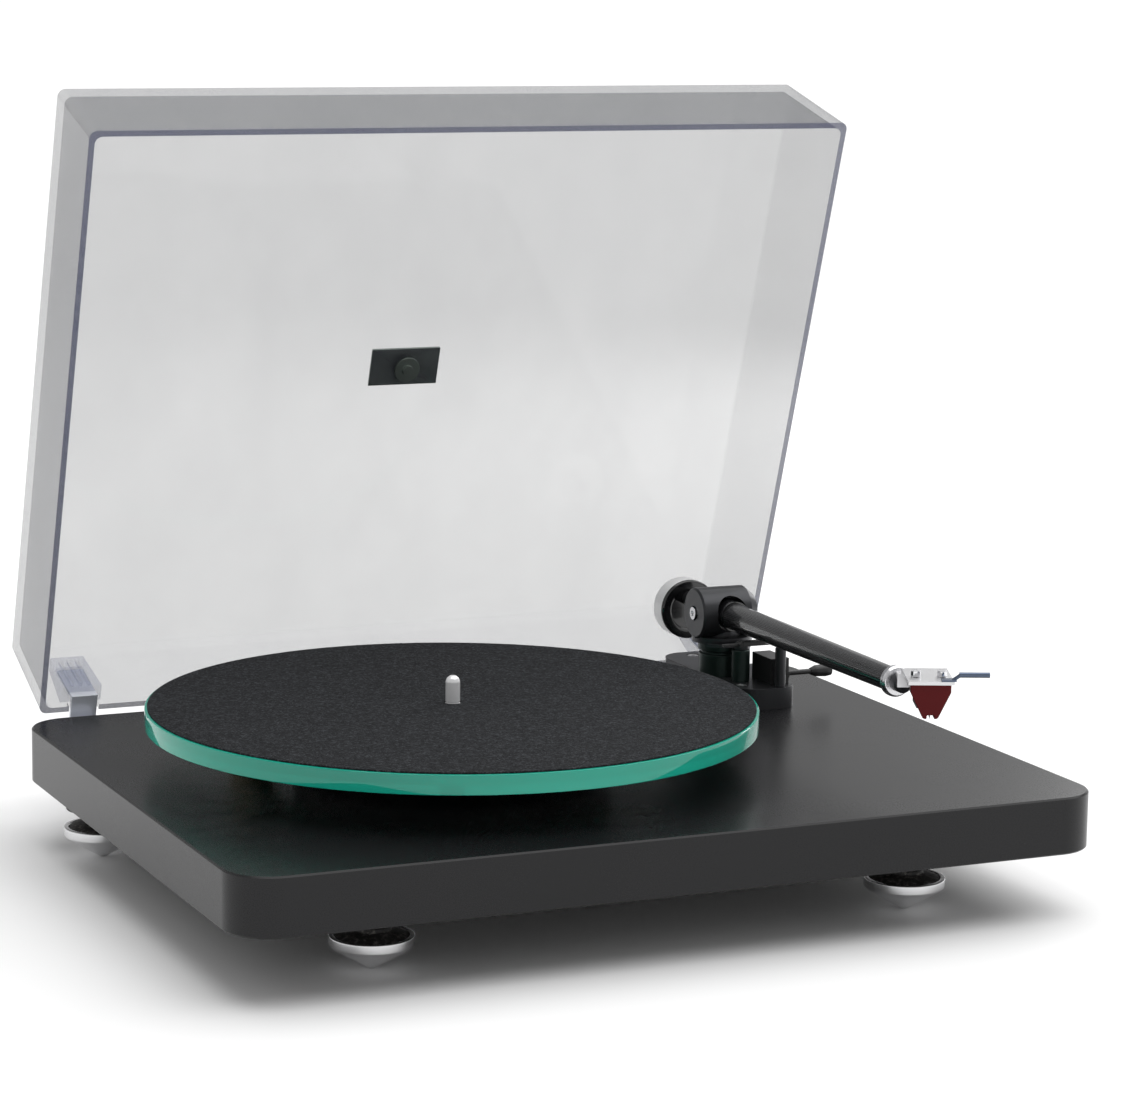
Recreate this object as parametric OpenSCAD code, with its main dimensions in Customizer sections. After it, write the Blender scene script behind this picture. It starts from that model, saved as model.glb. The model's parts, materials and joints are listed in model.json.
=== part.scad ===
// Belt-drive turntable: rounded slab plinth on four cone feet, glass platter with a felt mat,
// straight tonearm on a gimbal, and a clear lid on friction hinges.
// Millimetres, +Z up. The origin is on the floor under the middle of the bounding box, lid open.
// Most parts are drawn in deck coordinates: plinth centre in X and Y, plinth top at Z = 0.

/* [Plinth] */
// Width of the plinth, side to side
plinth_w = 438; // [425:1:530]
// Depth of the plinth, front to back
plinth_d = 338; // [334:1:410]
// Thickness of the plinth
plinth_t = 28; // [26:1:36]
// Corner radius seen from above
plinth_r = 22.5; // [12:0.5:30]
// Chamfer along the top and bottom edges
plinth_edge = 0.8; // [0.4:0.1:2]

/* [Feet] */
// Height from the floor to the underside of the plinth
foot_h = 33; // [28:1:42]
// Outer radius of a foot's aluminium ring
foot_r = 19.7; // [16:0.1:24]
// Front feet, inset from the plinth's sides
foot_front_inset_x = 81; // [30:1:100]
// Rear feet, inset from the plinth's sides
foot_rear_inset_x = 27; // [24:1:100]
// Front feet, inset from the front edge
foot_front_inset_y = 50; // [30:1:70]
// Rear feet, inset from the rear edge
foot_rear_inset_y = 53; // [30:1:70]
// Radius of the foot's threaded stud
stud_r = 4; // [3:0.5:5]
// How far a foot unscrews to level the deck
foot_travel = 4; // [2:0.5:5]

/* [Platter] */
// Spindle, inset from the plinth's left side
spindle_inset_x = 170.5; // [168:0.5:175]
// Spindle, behind the middle of the plinth
spindle_y = 3; // [0:0.5:6]
// Radius of the glass platter
platter_r = 150; // [140:0.5:151]
// Thickness of the glass
glass_t = 9.6; // [8:0.1:12]
// Gap between the plinth and the underside of the glass
platter_gap = 20; // [18:0.5:24]
// Thickness of the felt mat
mat_t = 0.9; // [0.8:0.1:3]
// How much the mat falls short of the glass edge
mat_inset = 1.3; // [0.5:0.1:4]
// Radius of the record spindle
spindle_r = 3.575; // [3.5:0.005:3.62]
// Height of the spindle above the mat
spindle_up = 13.5; // [9:0.5:16]

/* [Bearing] */
// Radius of the bearing shaft under the sub-platter
shaft_r = 5; // [4:0.25:6]
// Running clearance of the shaft in its bush, radial
shaft_fit = 0.05; // [0.02:0.01:0.1]
// Radius of the sub-platter's belt face
sub_r = 78; // [60:1:90]
// Height of the sub-platter's belt face
sub_h = 14; // [10:0.5:15]

/* [Motor] */
// Belt radius of the pulley's 33 rpm step
pulley_slow_r = 10.4; // [8:0.1:12]
// Belt radius of the pulley's 45 rpm step
pulley_fast_r = 14.04; // [11:0.01:16]
// Distance from the spindle to the motor shaft
motor_dist = 112; // [108:1:118]
// Direction of the motor from the spindle, degrees from +X
motor_dir = 131; // [120:1:145]
// Radius of the motor body
motor_r = 21; // [18:0.5:23]
// Radius of the motor shaft
motor_shaft_r = 1.5; // [1:0.25:2]
// Thickness of the belt
belt_t = 0.7; // [0.5:0.1:1.2]
// Width of the belt
belt_w = 4; // [3:0.5:5]

/* [Tonearm] */
// Arm pivot, inset from the plinth's right side
pivot_inset_x = 71; // [66:0.5:78]
// Arm pivot, inset from the plinth's rear edge
pivot_inset_y = 68; // [64:0.5:74]
// Height of the horizontal bearing axis above the deck
pivot_z = 45.1; // [43:0.1:46]
// How far the stylus reaches past the spindle
overhang = 16; // [14:0.5:20]
// Parked arm: angle from straight ahead towards the platter
park_yaw = 1.9; // [0:0.1:4]
// Parked arm: upward tilt of the tube
park_pitch = 0.6; // [0:0.1:1]
// Offset angle of the headshell
headshell_angle = 23.5; // [20:0.5:26]
// Radius of the tube at the pivot
tube_r_pivot = 7.2; // [6.5:0.1:7.2]
// Radius of the tube at the headshell
tube_r_head = 6; // [5:0.1:6.2]
// Radius of the yoke
yoke_r = 13.6; // [13:0.2:14]
// Length of the yoke, side to side
yoke_w = 33; // [30:1:38]
// Radius of the counterweight
weight_r = 16.2; // [14:0.1:17]
// Length of the counterweight
weight_l = 16; // [12:0.5:16]
// Front face of the counterweight, behind the pivot
weight_back = 42; // [38:0.5:43]
// How far the counterweight hangs below the tube's axis
weight_drop = 6; // [3:0.5:7]

/* [Arm base] */
// Width of the arm base
base_w = 35; // [34:0.5:36]
// Length of the arm base, front to back
base_l = 104; // [102:1:111]
// Thickness of the arm base
base_t = 11.5; // [9:0.5:13]

/* [Lid] */
// Lid rim, inset from the plinth's sides
lid_inset_x = 13; // [10:0.5:15]
// Depth of the lid at its rim, as a part of the plinth's depth
lid_depth_ratio = 0.951; // [0.948:0.001:0.955]
// Height of the lid
lid_h = 62; // [61:0.5:70]
// Thickness of the acrylic
lid_wall = 3; // [2:0.25:3]
// How much the walls lean in from the rim to the top
lid_draft = 2; // [0:0.5:3]
// Opening angle of the lid
lid_open = 72; // [0:1:75]
// Lid rim above the deck when closed
lid_lift = 0.6; // [0.4:0.1:1.5]
// Hinge axis behind the plinth's rear face
hinge_back = 4.7; // [4.5:0.1:6]
// Hinge axis below the deck
hinge_drop = 9.5; // [8:0.5:12]
// Hinge centres, inset from the plinth's sides
hinge_inset_x = 37; // [35:1:60]

/* [Hidden] */
$fn = 64;
eps = 0.01;

// Clearances
gap = 0.4;
thread_fit = 0.06;
belt_gap = 0.3;

// Plinth and frame
deck_z = foot_h + plinth_t;
rear_y = plinth_d / 2;
lid_w = plinth_w - 2 * lid_inset_x;
lid_d = plinth_d * lid_depth_ratio;
lid_rear = rear_y - 2;
hinge_y = rear_y + hinge_back;
corner_back = lid_rear - lid_draft - hinge_y;
corner_up = lid_lift + lid_h + hinge_drop;
rear_reach = hinge_y + corner_back * cos(lid_open) + corner_up * sin(lid_open);
deck_y = -(rear_reach - rear_y) / 2;

// Platter stack, heights above the deck
spindle_x = spindle_inset_x - plinth_w / 2;
mat_z = platter_gap + glass_t;
mat_top = mat_z + mat_t;
sub_z = 5;
belt_z = sub_z + sub_h / 2;
housing_r = 10;
bush_r = shaft_r + 2.4;
seat_r = 4;
housing_low = -plinth_t - 9;
ball_r = 2.5;
shaft_low = housing_low + 2 + 2 * ball_r;
hub_r = 20;

// Motor
motor_x = spindle_x + motor_dist * cos(motor_dir);
motor_y = spindle_y + motor_dist * sin(motor_dir);
motor_h = 20;
motor_top = -3;
damper_r = motor_r + 4;
pulley_low = 2.5;
pulley_h = 14;

// Tonearm
pivot_x = plinth_w / 2 - pivot_inset_x;
pivot_y = rear_y - pivot_inset_y;
mount_distance = norm([pivot_x - spindle_x, pivot_y - spindle_y]);
arm_length = mount_distance + overhang;
tube_start = 12;
tube_end = arm_length - 37;
cartridge_h = 17.4;
plate_t = 1.6;
stylus_drop = 11.9;
plate_z = cartridge_h - stylus_drop;
screw_pitch = 12.7;
stub_r = 4;
stub_end = weight_back + weight_l + 1.5;
pillar_r = 12;
disc_r = 16;
disc_z = pivot_z - yoke_r - 1.9;
base_x = pivot_x + 7.5;
base_y = rear_y - 10 - base_l / 2;
lift_r = 4.9;
lift_reach = disc_r + lift_r + 0.9;
lift_dir = 271.5;
lift_x = pivot_x + lift_reach * cos(lift_dir);
lift_y = pivot_y + lift_reach * sin(lift_dir);
lift_top = pivot_z - 16.4;
rail_z = lift_top + 1;
rail_r = lift_reach - 1;
post_x = pivot_x + 13.5;
post_y = base_y - base_l / 2 + 3.5;
housing_y = post_y + 10.5;
housing_top = base_t + 14;
lever_z = base_t + 4.5;
rest_x = pivot_x - (pivot_y - post_y) * tan(park_yaw);
rest_top = pivot_z - 7.8;
rest_t = 2.4;
clip_x = rest_x - 9.2;
clip_z = rest_top - 1.5;

// Lid hardware
socket_w = 20;
socket_h = 36;
socket_d = 9;
leaf_w = 14;
leaf_t = 2;
notch_h = 4.5;
pin_r = 2;
badge_w = 39;
badge_h = 21;

// Places shared by several parts
module deck() translate([0, deck_y, deck_z]) children();

module lid_pose() deck()
    translate([0, hinge_y, -hinge_drop]) rotate([-lid_open, 0, 0])
        translate([0, -hinge_y, hinge_drop]) children();

module at_spindle() deck() translate([spindle_x, spindle_y, 0]) children();

module at_motor() deck() translate([motor_x, motor_y, 0]) children();

// Arm coordinates: pivot at the origin, tube towards -Y
module arm_pose() deck() translate([pivot_x, pivot_y, pivot_z])
    rotate([-park_pitch, 0, -park_yaw]) children();

// Cartridge coordinates: stylus tip at the origin, front towards -Y
module head_pose() arm_pose() translate([0, -arm_length, -stylus_drop])
    rotate([park_pitch, 0, -headshell_angle + park_yaw]) children();

module each_hinge() for (side = [-1, 1]) translate([side * (plinth_w / 2 - hinge_inset_x), 0, 0]) children();

module along_x(length, r) rotate([0, 90, 0]) cylinder(h = length, r = r, center = true);

module along_y(length, r) rotate([-90, 0, 0]) cylinder(h = length, r = r);

module box(size, low) translate(low) cube(size);

FEET = [
    [foot_front_inset_x - plinth_w / 2, foot_front_inset_y - rear_y],
    [plinth_w / 2 - foot_front_inset_x, foot_front_inset_y - rear_y],
    [foot_rear_inset_x - plinth_w / 2, rear_y - foot_rear_inset_y],
    [plinth_w / 2 - foot_rear_inset_x, rear_y - foot_rear_inset_y]
];

module each_foot() deck() for (place = FEET) translate([place[0], place[1], -plinth_t]) children();

// Slab with chamfered edges: two crossed prisms and four turned corners
module slab_profile(half, t, edge) polygon([
    [0, 0], [half - edge, 0], [half, -edge], [half, edge - t], [half - edge, -t], [0, -t]
]);

module slab(w, d, t, r, edge) {
    for (side = [0, 1]) {
        mirror([side, 0, 0]) rotate([90, 0, 0])
            linear_extrude(d - 2 * r, center = true) slab_profile(w / 2, t, edge);
        mirror([0, side, 0]) rotate([90, 0, 90])
            linear_extrude(w - 2 * r, center = true) slab_profile(d / 2, t, edge);
    }
    for (x = [-1, 1], y = [-1, 1])
        translate([x * (w / 2 - r), y * (d / 2 - r), 0]) rotate_extrude($fn = 96) slab_profile(r, t, edge);
}

// Plinth
board_x = motor_x + 10;
board_y = motor_y - 62;
board_w = 62;
board_l = 44;
cover_w = 96;
cover_l = 160;
cover_t = 1.6;
cover_x = board_x;
cover_y = motor_y - 38;
cover_screw_r = 1.5;
terminal_x = plinth_w / 2 - 78;
terminal_w = 66;
socket_z = -plinth_t / 2;
power_x = motor_x - 4;
switch_x = FEET[0][0] - 48;
switch_y = 22 - rear_y;

module cover_corners() for (x = [-1, 1], y = [-1, 1])
    translate([cover_x + x * (cover_w / 2 - 5), cover_y + y * (cover_l / 2 - 5), -plinth_t]) children();

module plinth() color([0.05, 0.05, 0.055]) deck() difference() {
    slab(plinth_w, plinth_d, plinth_t, plinth_r, plinth_edge);
    translate([spindle_x, spindle_y, -plinth_t - 1]) cylinder(h = plinth_t + 2, r = housing_r);
    translate([motor_x, motor_y, -plinth_t - 1]) cylinder(h = plinth_t + 2, r = damper_r);
    box([board_w + 6, board_l + 6, 12], [board_x - board_w / 2 - 3, board_y - board_l / 2 - 3, -plinth_t - 1]);
    box([cover_w, cover_l, cover_t + eps], [cover_x - cover_w / 2, cover_y - cover_l / 2, -plinth_t - eps]);
    cover_corners() translate([0, 0, cover_t - eps]) cylinder(h = 8, r = cover_screw_r);
    translate([pivot_x, pivot_y, -plinth_t - 1]) cylinder(h = plinth_t + 2, r = pillar_r - 3);
    for (place = FEET) translate([place[0], place[1], -plinth_t - 1]) cylinder(h = 15, r = stud_r + 2);
    box([16, 9, 14], [switch_x - 8, switch_y - 4.5, -plinth_t - 1]);
    box([terminal_w, 12, 18], [terminal_x - terminal_w / 2, rear_y - 11, socket_z - 9]);
    box([18, 14, 14], [power_x - 9, rear_y - 13, socket_z - 7]);
    base_screw_places() translate([0, 0, -12]) cylinder(h = 13, r = 1.6);
}

module foot_inserts() color("goldenrod") each_foot() difference() {
    cylinder(h = 12, r = stud_r + 2);
    translate([0, 0, -1]) cylinder(h = 14, r = stud_r + thread_fit);
}

module foot_spacers() color([0.08, 0.08, 0.08]) each_foot() difference() {
    translate([0, 0, -8]) cylinder(h = 8, r = foot_r - 1.2);
    translate([0, 0, -9]) cylinder(h = 10, r = stud_r + 0.5);
}

// Foot: threaded stud, dished ring and blunt cone, drawn down from the plinth's underside
ring_top = -17;
ring_t = 4.6;
dish = 1.6;
tip_r = 1.5;

module foot() {
    rotate_extrude($fn = 96) polygon([
        [0, -foot_h], [tip_r, -foot_h], [foot_r - 1.2, ring_top - ring_t - 1.2],
        [foot_r, ring_top - ring_t], [foot_r, ring_top - 0.5], [foot_r - 0.5, ring_top],
        [foot_r - 2.4, ring_top], [foot_r - 2.4, ring_top - dish], [0, ring_top - dish]
    ]);
    translate([0, 0, ring_top - dish - eps]) cylinder(h = 9 - ring_top + dish, r = stud_r);
}

module foot_pad() rotate_extrude($fn = 96) polygon([
    [stud_r + 0.02, ring_top - dish], [foot_r - 2.5, ring_top - dish], [foot_r - 2.5, ring_top - 0.2],
    [foot_r - 5, ring_top + 0.9], [9, ring_top + 2.4], [9, ring_top + 4.4], [stud_r + 0.02, ring_top + 4.4]
]);

module at_foot(index) deck() translate([FEET[index][0], FEET[index][1], -plinth_t]) children();

module front_left_foot() color([0.8, 0.8, 0.8]) at_foot(0) foot();
module front_right_foot() color([0.8, 0.8, 0.8]) at_foot(1) foot();
module rear_left_foot() color([0.8, 0.8, 0.8]) at_foot(2) foot();
module rear_right_foot() color([0.8, 0.8, 0.8]) at_foot(3) foot();
module front_left_pad() color([0.12, 0.12, 0.12]) at_foot(0) foot_pad();
module front_right_pad() color([0.12, 0.12, 0.12]) at_foot(1) foot_pad();
module rear_left_pad() color([0.12, 0.12, 0.12]) at_foot(2) foot_pad();
module rear_right_pad() color([0.12, 0.12, 0.12]) at_foot(3) foot_pad();

// Main bearing
module bearing_housing() color("gray") at_spindle() rotate_extrude() polygon([
    [0, housing_low], [housing_r, housing_low], [housing_r, 0], [housing_r + 7, 0],
    [housing_r + 7, 2.5], [bush_r, 2.5], [bush_r, housing_low + 2], [0, housing_low + 2]
]);

module bearing_bush() color([0.7, 0.5, 0.25]) at_spindle() rotate_extrude() polygon([
    [shaft_r + shaft_fit, shaft_low + 0.5], [bush_r, shaft_low + 0.5],
    [bush_r, 2.5], [shaft_r + shaft_fit, 2.5]
]);

module thrust_ball() color("silver") at_spindle() translate([0, 0, housing_low + 2 + ball_r]) sphere(r = ball_r);

module spindle() color([0.85, 0.85, 0.87]) at_spindle() rotate_extrude() polygon([
    [0, shaft_low + 0.05], [shaft_r, shaft_low + 0.05], [shaft_r, platter_gap - 3],
    [seat_r, platter_gap - 3], [seat_r, mat_top - 0.4], [spindle_r - 0.2, mat_top - 0.4],
    [spindle_r - 0.2, mat_top + 0.5], [spindle_r, mat_top + 0.5], [spindle_r, mat_top + spindle_up - 3],
    [spindle_r * 0.82, mat_top + spindle_up - 1.4], [spindle_r * 0.4, mat_top + spindle_up - 0.3],
    [0, mat_top + spindle_up]
]);

module sub_platter() color([0.1, 0.1, 0.1]) at_spindle() difference() {
    union() {
        translate([0, 0, sub_z]) cylinder(h = 3, r = sub_r, $fn = 128);
        translate([0, 0, sub_z]) difference() {
            cylinder(h = sub_h, r = sub_r, $fn = 128);
            translate([0, 0, 3]) cylinder(h = sub_h, r = sub_r - 4, $fn = 128);
        }
        translate([0, 0, sub_z]) cylinder(h = platter_gap - sub_z, r = hub_r);
        for (turn = [0:60:300]) rotate([0, 0, turn])
            box([sub_r - hub_r - 2, 3, sub_h - 1], [hub_r - 1, -1.5, sub_z]);
        difference() {
            translate([0, 0, sub_z]) cylinder(h = platter_gap - sub_z, r = sub_r - 3, $fn = 128);
            translate([0, 0, sub_z - 1]) cylinder(h = platter_gap, r = sub_r - 10, $fn = 128);
        }
    }
    translate([0, 0, sub_z - 1]) cylinder(h = platter_gap - sub_z - 2, r = shaft_r);
    translate([0, 0, sub_z]) cylinder(h = platter_gap, r = seat_r);
}

module glass_platter() color([0.35, 0.8, 0.65, 0.6]) at_spindle() translate([0, 0, platter_gap])
    rotate_extrude($fn = 192) polygon([
        [seat_r + 0.02, 0], [platter_r - 0.5, 0], [platter_r, 0.5], [platter_r, glass_t - 0.5],
        [platter_r - 0.5, glass_t], [seat_r + 0.02, glass_t]
    ]);

module felt_mat() color([0.17, 0.17, 0.18]) at_spindle() translate([0, 0, mat_z]) difference() {
    cylinder(h = mat_t, r = platter_r - mat_inset, $fn = 192);
    translate([0, 0, -1]) cylinder(h = mat_t + 2, r = seat_r + 0.02);
}

// Drive
module belt_outline(grow) hull() {
    circle(r = sub_r + belt_gap + grow, $fn = 128);
    rotate(motor_dir) translate([motor_dist, 0]) circle(r = pulley_slow_r + belt_gap + grow);
}

module drive_belt() color([0.12, 0.12, 0.12]) at_spindle() translate([0, 0, belt_z - belt_w / 2])
    linear_extrude(belt_w) difference() {
        belt_outline(belt_t);
        belt_outline(0);
    }

module motor_body() color([0.6, 0.6, 0.62]) at_motor() difference() {
    union() {
        translate([0, 0, motor_top - motor_h]) cylinder(h = motor_h, r = motor_r);
        translate([0, 0, motor_top - eps]) cylinder(h = 2, r = 5);
    }
    translate([0, 0, motor_top - motor_h + 2]) cylinder(h = motor_h + 2, r = motor_shaft_r + shaft_fit);
}

module motor_damper() color([0.15, 0.15, 0.15]) at_motor() rotate_extrude() polygon([
    [motor_r, motor_top - motor_h + 3], [damper_r, motor_top - motor_h + 3], [damper_r, 0],
    [damper_r + 3, 0], [damper_r + 3, 1.5], [motor_r - 4, 1.5], [motor_r - 4, motor_top], [motor_r, motor_top]
]);

module motor_shaft() color("silver") at_motor() translate([0, 0, motor_top - motor_h + 3])
    cylinder(h = motor_h + pulley_low + pulley_h - 4 - motor_top, r = motor_shaft_r);

// Two steps with flanges; the belt runs on the lower, smaller one
module motor_pulley() color("goldenrod") at_motor() translate([0, 0, pulley_low]) rotate_extrude() polygon([
    [motor_shaft_r, 0], [pulley_fast_r, 0], [pulley_fast_r, 5.5], [pulley_slow_r + 1.5, 6],
    [pulley_slow_r, 6.4], [pulley_slow_r, 13], [pulley_slow_r + 1.5, 13.4],
    [pulley_slow_r + 1.5, pulley_h], [motor_shaft_r, pulley_h]
]);

// Electronics
module control_board() color([0.1, 0.35, 0.2]) deck() {
    box([board_w, board_l, 1.6], [board_x - board_w / 2, board_y - board_l / 2, -plinth_t + 6]);
    for (x = [-20, -4, 14]) box([8, 10, 2.5], [board_x + x, board_y - 8, -plinth_t + 7.5]);
    for (x = [-1, 1], y = [-1, 1]) translate([board_x + x * 26, board_y + y * 17, -plinth_t + cover_t])
        cylinder(h = 4.5, r = 2.5);
}

module bottom_cover() color([0.07, 0.07, 0.07]) deck() difference() {
    box([cover_w - 0.4, cover_l - 0.4, cover_t], [cover_x - cover_w / 2 + 0.2, cover_y - cover_l / 2 + 0.2, -plinth_t]);
    cover_corners() translate([0, 0, -1]) cylinder(h = 4, r = cover_screw_r);
}

module cover_screws() color("silver") deck() cover_corners() {
    translate([0, 0, -1.5]) cylinder(h = 1.5, r = 2.8);
    translate([0, 0, -1]) cylinder(h = 8, r = cover_screw_r);
}

power_bore_r = 2.75;
module power_socket() color([0.08, 0.08, 0.08]) deck() translate([power_x, rear_y, socket_z]) {
    difference() {
        union() {
            box([18, 12.5, 14], [-9, -13, -7]);
            translate([0, -1, 0]) along_y(2.5, 5);
        }
        translate([0, -9.5, 0]) along_y(13, power_bore_r);
    }
    translate([0, -9.6, 0]) along_y(9, 1);
}

rca_r = 4.15;
module signal_sockets() color([0.75, 0.6, 0.3]) deck() translate([terminal_x, rear_y, socket_z]) {
    box([terminal_w, 2, 18], [-terminal_w / 2, -11, -9]);
    for (side = [-1, 1]) translate([side * 9, -9, 0]) difference() {
        union() {
            along_y(3, 6);
            along_y(11, rca_r - 0.25);
            translate([0, 3.5, 0]) along_y(7.5, rca_r);
        }
        translate([0, 3, 0]) along_y(9, 1.6);
    }
}

module ground_post() color([0.8, 0.8, 0.8]) deck() translate([terminal_x - 25, rear_y - 9, socket_z]) {
    along_y(9, 2);
    translate([0, 4, 0]) along_y(5, 4);
}

rocker_pin_r = 0.7;
module switch_housing() color([0.1, 0.1, 0.1]) deck() translate([switch_x, switch_y, -plinth_t]) difference() {
    union() {
        box([15.6, 8.6, 12], [-7.8, -4.3, 0]);
        box([19, 12, 1.4], [-9.5, -6, -1.4]);
    }
    box([13, 6.4, 7], [-6.5, -3.2, -2]);
    translate([0, 0, 1]) along_y_centre(12, rocker_pin_r + shaft_fit);
}

// Rocker tipped to its off side, pivoting on the Y axis
rocker_z = -plinth_t + 1;
module switch_rocker() color([0.35, 0.04, 0.04]) deck() translate([switch_x, switch_y, rocker_z])
    rotate([0, 8, 0]) {
        difference() {
            box([10.8, 5.6, 4.6], [-5.4, -2.8, -3.4]);
            translate([0, 0, -16]) along_y_centre(8, 13.2);
        }
        along_y_centre(8, rocker_pin_r);
    }

// Arm base
module base_screw_places() for (place = [[base_x - 11, base_y - base_l / 2 + 15], [base_x, base_y + base_l / 2 - 9]])
    translate(place) children();

module arm_base() color([0.07, 0.07, 0.075]) deck() difference() {
    union() {
        for (y = [-1, 1]) for (x = [-1, 1])
            translate([base_x + x * 4, base_y + y * (base_l / 2 - base_w / 2 + 4), 0])
                cylinder(h = base_t, r = base_w / 2 - 4);
        box([base_w, base_l - base_w + 8, base_t], [base_x - base_w / 2, base_y - base_l / 2 + base_w / 2 - 4, 0]);
        box([8, base_l, base_t], [base_x - 4, base_y - base_l / 2, 0]);
    }
    translate([pivot_x, pivot_y, -1]) cylinder(h = base_t + 2, r = pillar_r - 3);
    translate([lift_x, lift_y, base_t - 4]) cylinder(h = 5, r = 3);
    translate([post_x, post_y, base_t - 4]) cylinder(h = 5, r = 2);
    base_screw_places() {
        translate([0, 0, -1]) cylinder(h = base_t + 2, r = 1.6);
        translate([0, 0, base_t - 2.4]) cylinder(h = 3, r = 3.4);
    }
}

module arm_base_screws() color("silver") deck() base_screw_places() {
    translate([0, 0, -10]) cylinder(h = base_t + 8, r = 1.6);
    translate([0, 0, base_t - 2.4]) difference() {
        cylinder(h = 2.2, r = 3);
        translate([0, 0, 0.9]) cylinder(h = 2, r = 1.5, $fn = 6);
    }
}

// Pillar with the lower bearing, stepped discs and a bore for the yoke's shaft
yoke_shaft_r = 4;
module arm_pillar() color([0.07, 0.08, 0.075]) deck() translate([pivot_x, pivot_y, 0]) rotate_extrude() polygon([
    [yoke_shaft_r + shaft_fit, -plinth_t + 4], [pillar_r - 3, -plinth_t + 4], [pillar_r - 3, base_t],
    [pillar_r, base_t], [pillar_r, disc_z - 6.5], [pillar_r - 1, disc_z - 6], [pillar_r - 1, disc_z - 4.8],
    [pillar_r + 0.6, disc_z - 4.4], [pillar_r + 0.6, disc_z - 0.8], [pillar_r - 1.5, disc_z - 0.4],
    [yoke_shaft_r + shaft_fit, disc_z - 0.4]
]);

// Yoke: disc, vertical shaft and a barrel across the arm, bored for the hub at its tilt limits
hub_half = 8;
module arm_yoke() color([0.06, 0.06, 0.065]) deck() translate([pivot_x, pivot_y, 0]) rotate([0, 0, -park_yaw]) difference() {
    union() {
        translate([0, 0, -plinth_t + 6]) cylinder(h = plinth_t - 6 + disc_z + eps, r = yoke_shaft_r);
        translate([0, 0, disc_z]) cylinder(h = 3.4, r = disc_r);
        translate([0, 0, disc_z]) cylinder(h = 8, r = 10);
        translate([0, 0, pivot_z]) rotate([0, 90, 0]) rotate_extrude() polygon([
            [0, -yoke_w / 2], [yoke_r - 1, -yoke_w / 2], [yoke_r, 1 - yoke_w / 2],
            [yoke_r, yoke_w / 2 - 5], [yoke_r - 4, yoke_w / 2], [0, yoke_w / 2]
        ]);
    }
    for (tilt = [-1, 4, 9.5]) translate([0, 0, pivot_z]) rotate([-tilt, 0, 0])
        translate([0, -20, 0]) along_y(40, hub_half + 0.5);
    translate([0, 0, pivot_z]) along_x(yoke_w + 2, 2.5);
    for (side = [-1, 1]) translate([side * yoke_w / 2, 0, pivot_z]) along_x(3, 4);
}

module yoke_bearing_screws() color("silver") deck() translate([pivot_x, pivot_y, pivot_z]) rotate([0, 0, -park_yaw])
    for (side = [0, 1]) mirror([side, 0, 0]) {
        translate([-yoke_w / 2, 0, 0]) rotate([0, 90, 0]) difference() {
            translate([0, 0, -1]) cylinder(h = 2.5, r = 3.4);
            translate([0, 0, -2]) cylinder(h = 2.2, r = 1.6, $fn = 6);
        }
        translate([-yoke_w / 2 + 1, 0, 0]) rotate([0, 90, 0]) cylinder(h = yoke_w / 2 - 6.4, r = 2.5);
    }

// Hub on the bearing cones: side seats, a socket for the tube in front and one for the stub behind
module arm_hub() color([0.06, 0.06, 0.065]) arm_pose() difference() {
    translate([0, -17, 0]) along_y(25, hub_half);
    for (side = [-1, 1]) translate([side * hub_half, 0, 0]) along_x(6, 2.5 + shaft_fit);
    translate([0, -tube_start, 0]) rotate([90, 0, 0]) cylinder(h = 10, r = tube_r_pivot);
    translate([0, 2, 0]) along_y(8, stub_r);
}

module arm_tube() color([0.05, 0.05, 0.05]) arm_pose() translate([0, -tube_start, 0]) rotate([90, 0, 0]) difference() {
    cylinder(h = tube_end - tube_start, r1 = tube_r_pivot, r2 = tube_r_head);
    translate([0, 0, 2]) cylinder(h = tube_end - tube_start, r1 = tube_r_pivot - 1, r2 = tube_r_head - 1);
}

neck_r = 4.6;
neck_l = 11;
module head_collar() color([0.75, 0.75, 0.77]) arm_pose() translate([0, -tube_end, 0]) rotate([90, 0, 0]) {
    rotate_extrude() polygon([[0, -8], [tube_r_head - 1.2, -8], [tube_r_head - 1.2, 0], [0, 0]]);
    rotate_extrude() polygon([
        [0, 0], [7.8, 0], [7.8, 2.5], [7, 4.2], [neck_r, 4.6], [neck_r, neck_l - 1], [neck_r - 1, neck_l], [0, neck_l]
    ]);
}

// Headshell: flat plate with two slots, resting on the collar's neck
plate_w = 22;
plate_front = -4.5;
plate_back = 28;
screw_y = 8;

module headshell() color([0.85, 0.85, 0.86]) head_pose() difference() {
    union() {
        box([plate_w, plate_back - plate_front, plate_t], [-plate_w / 2, plate_front, cartridge_h]);
        box([9, 7, 6.5], [-plate_w / 2 - 2.5, plate_back - 7, cartridge_h - 6.5 + eps]);
    }
    for (side = [-1, 1]) for (step = [-1, 0, 1])
        translate([side * screw_pitch / 2, screw_y + step * 2, cartridge_h - 1]) cylinder(h = 4, r = 1.35);
    neck_cut();
}

// The collar's neck, in cartridge coordinates, to seat the headshell's rear lug on it
module neck_cut() rotate([-park_pitch, 0, headshell_angle - park_yaw])
    translate([0, arm_length - tube_end + eps, stylus_drop]) rotate([90, 0, 0]) {
        cylinder(h = neck_l - 1 + eps, r = neck_r);
        translate([0, 0, neck_l - 1]) cylinder(h = 1 + 2 * eps, r1 = neck_r, r2 = neck_r - 1);
    }

module finger_lift() color([0.45, 0.52, 0.62]) head_pose() {
    box([7, 5, 0.8], [plate_w / 2 - 6, plate_front + 0.5, cartridge_h + plate_t]);
    translate([plate_w / 2 + 1.4, plate_front + 3, cartridge_h + plate_t + 1.7])
        rotate([0, 55, 0]) cylinder(h = 4.6, r = 0.9, center = true);
    translate([plate_w / 2 + 2.4, plate_front + 3, cartridge_h + plate_t + 2.9])
        rotate([0, 90, 0]) cylinder(h = 14.5, r = 1.3);
}

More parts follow.
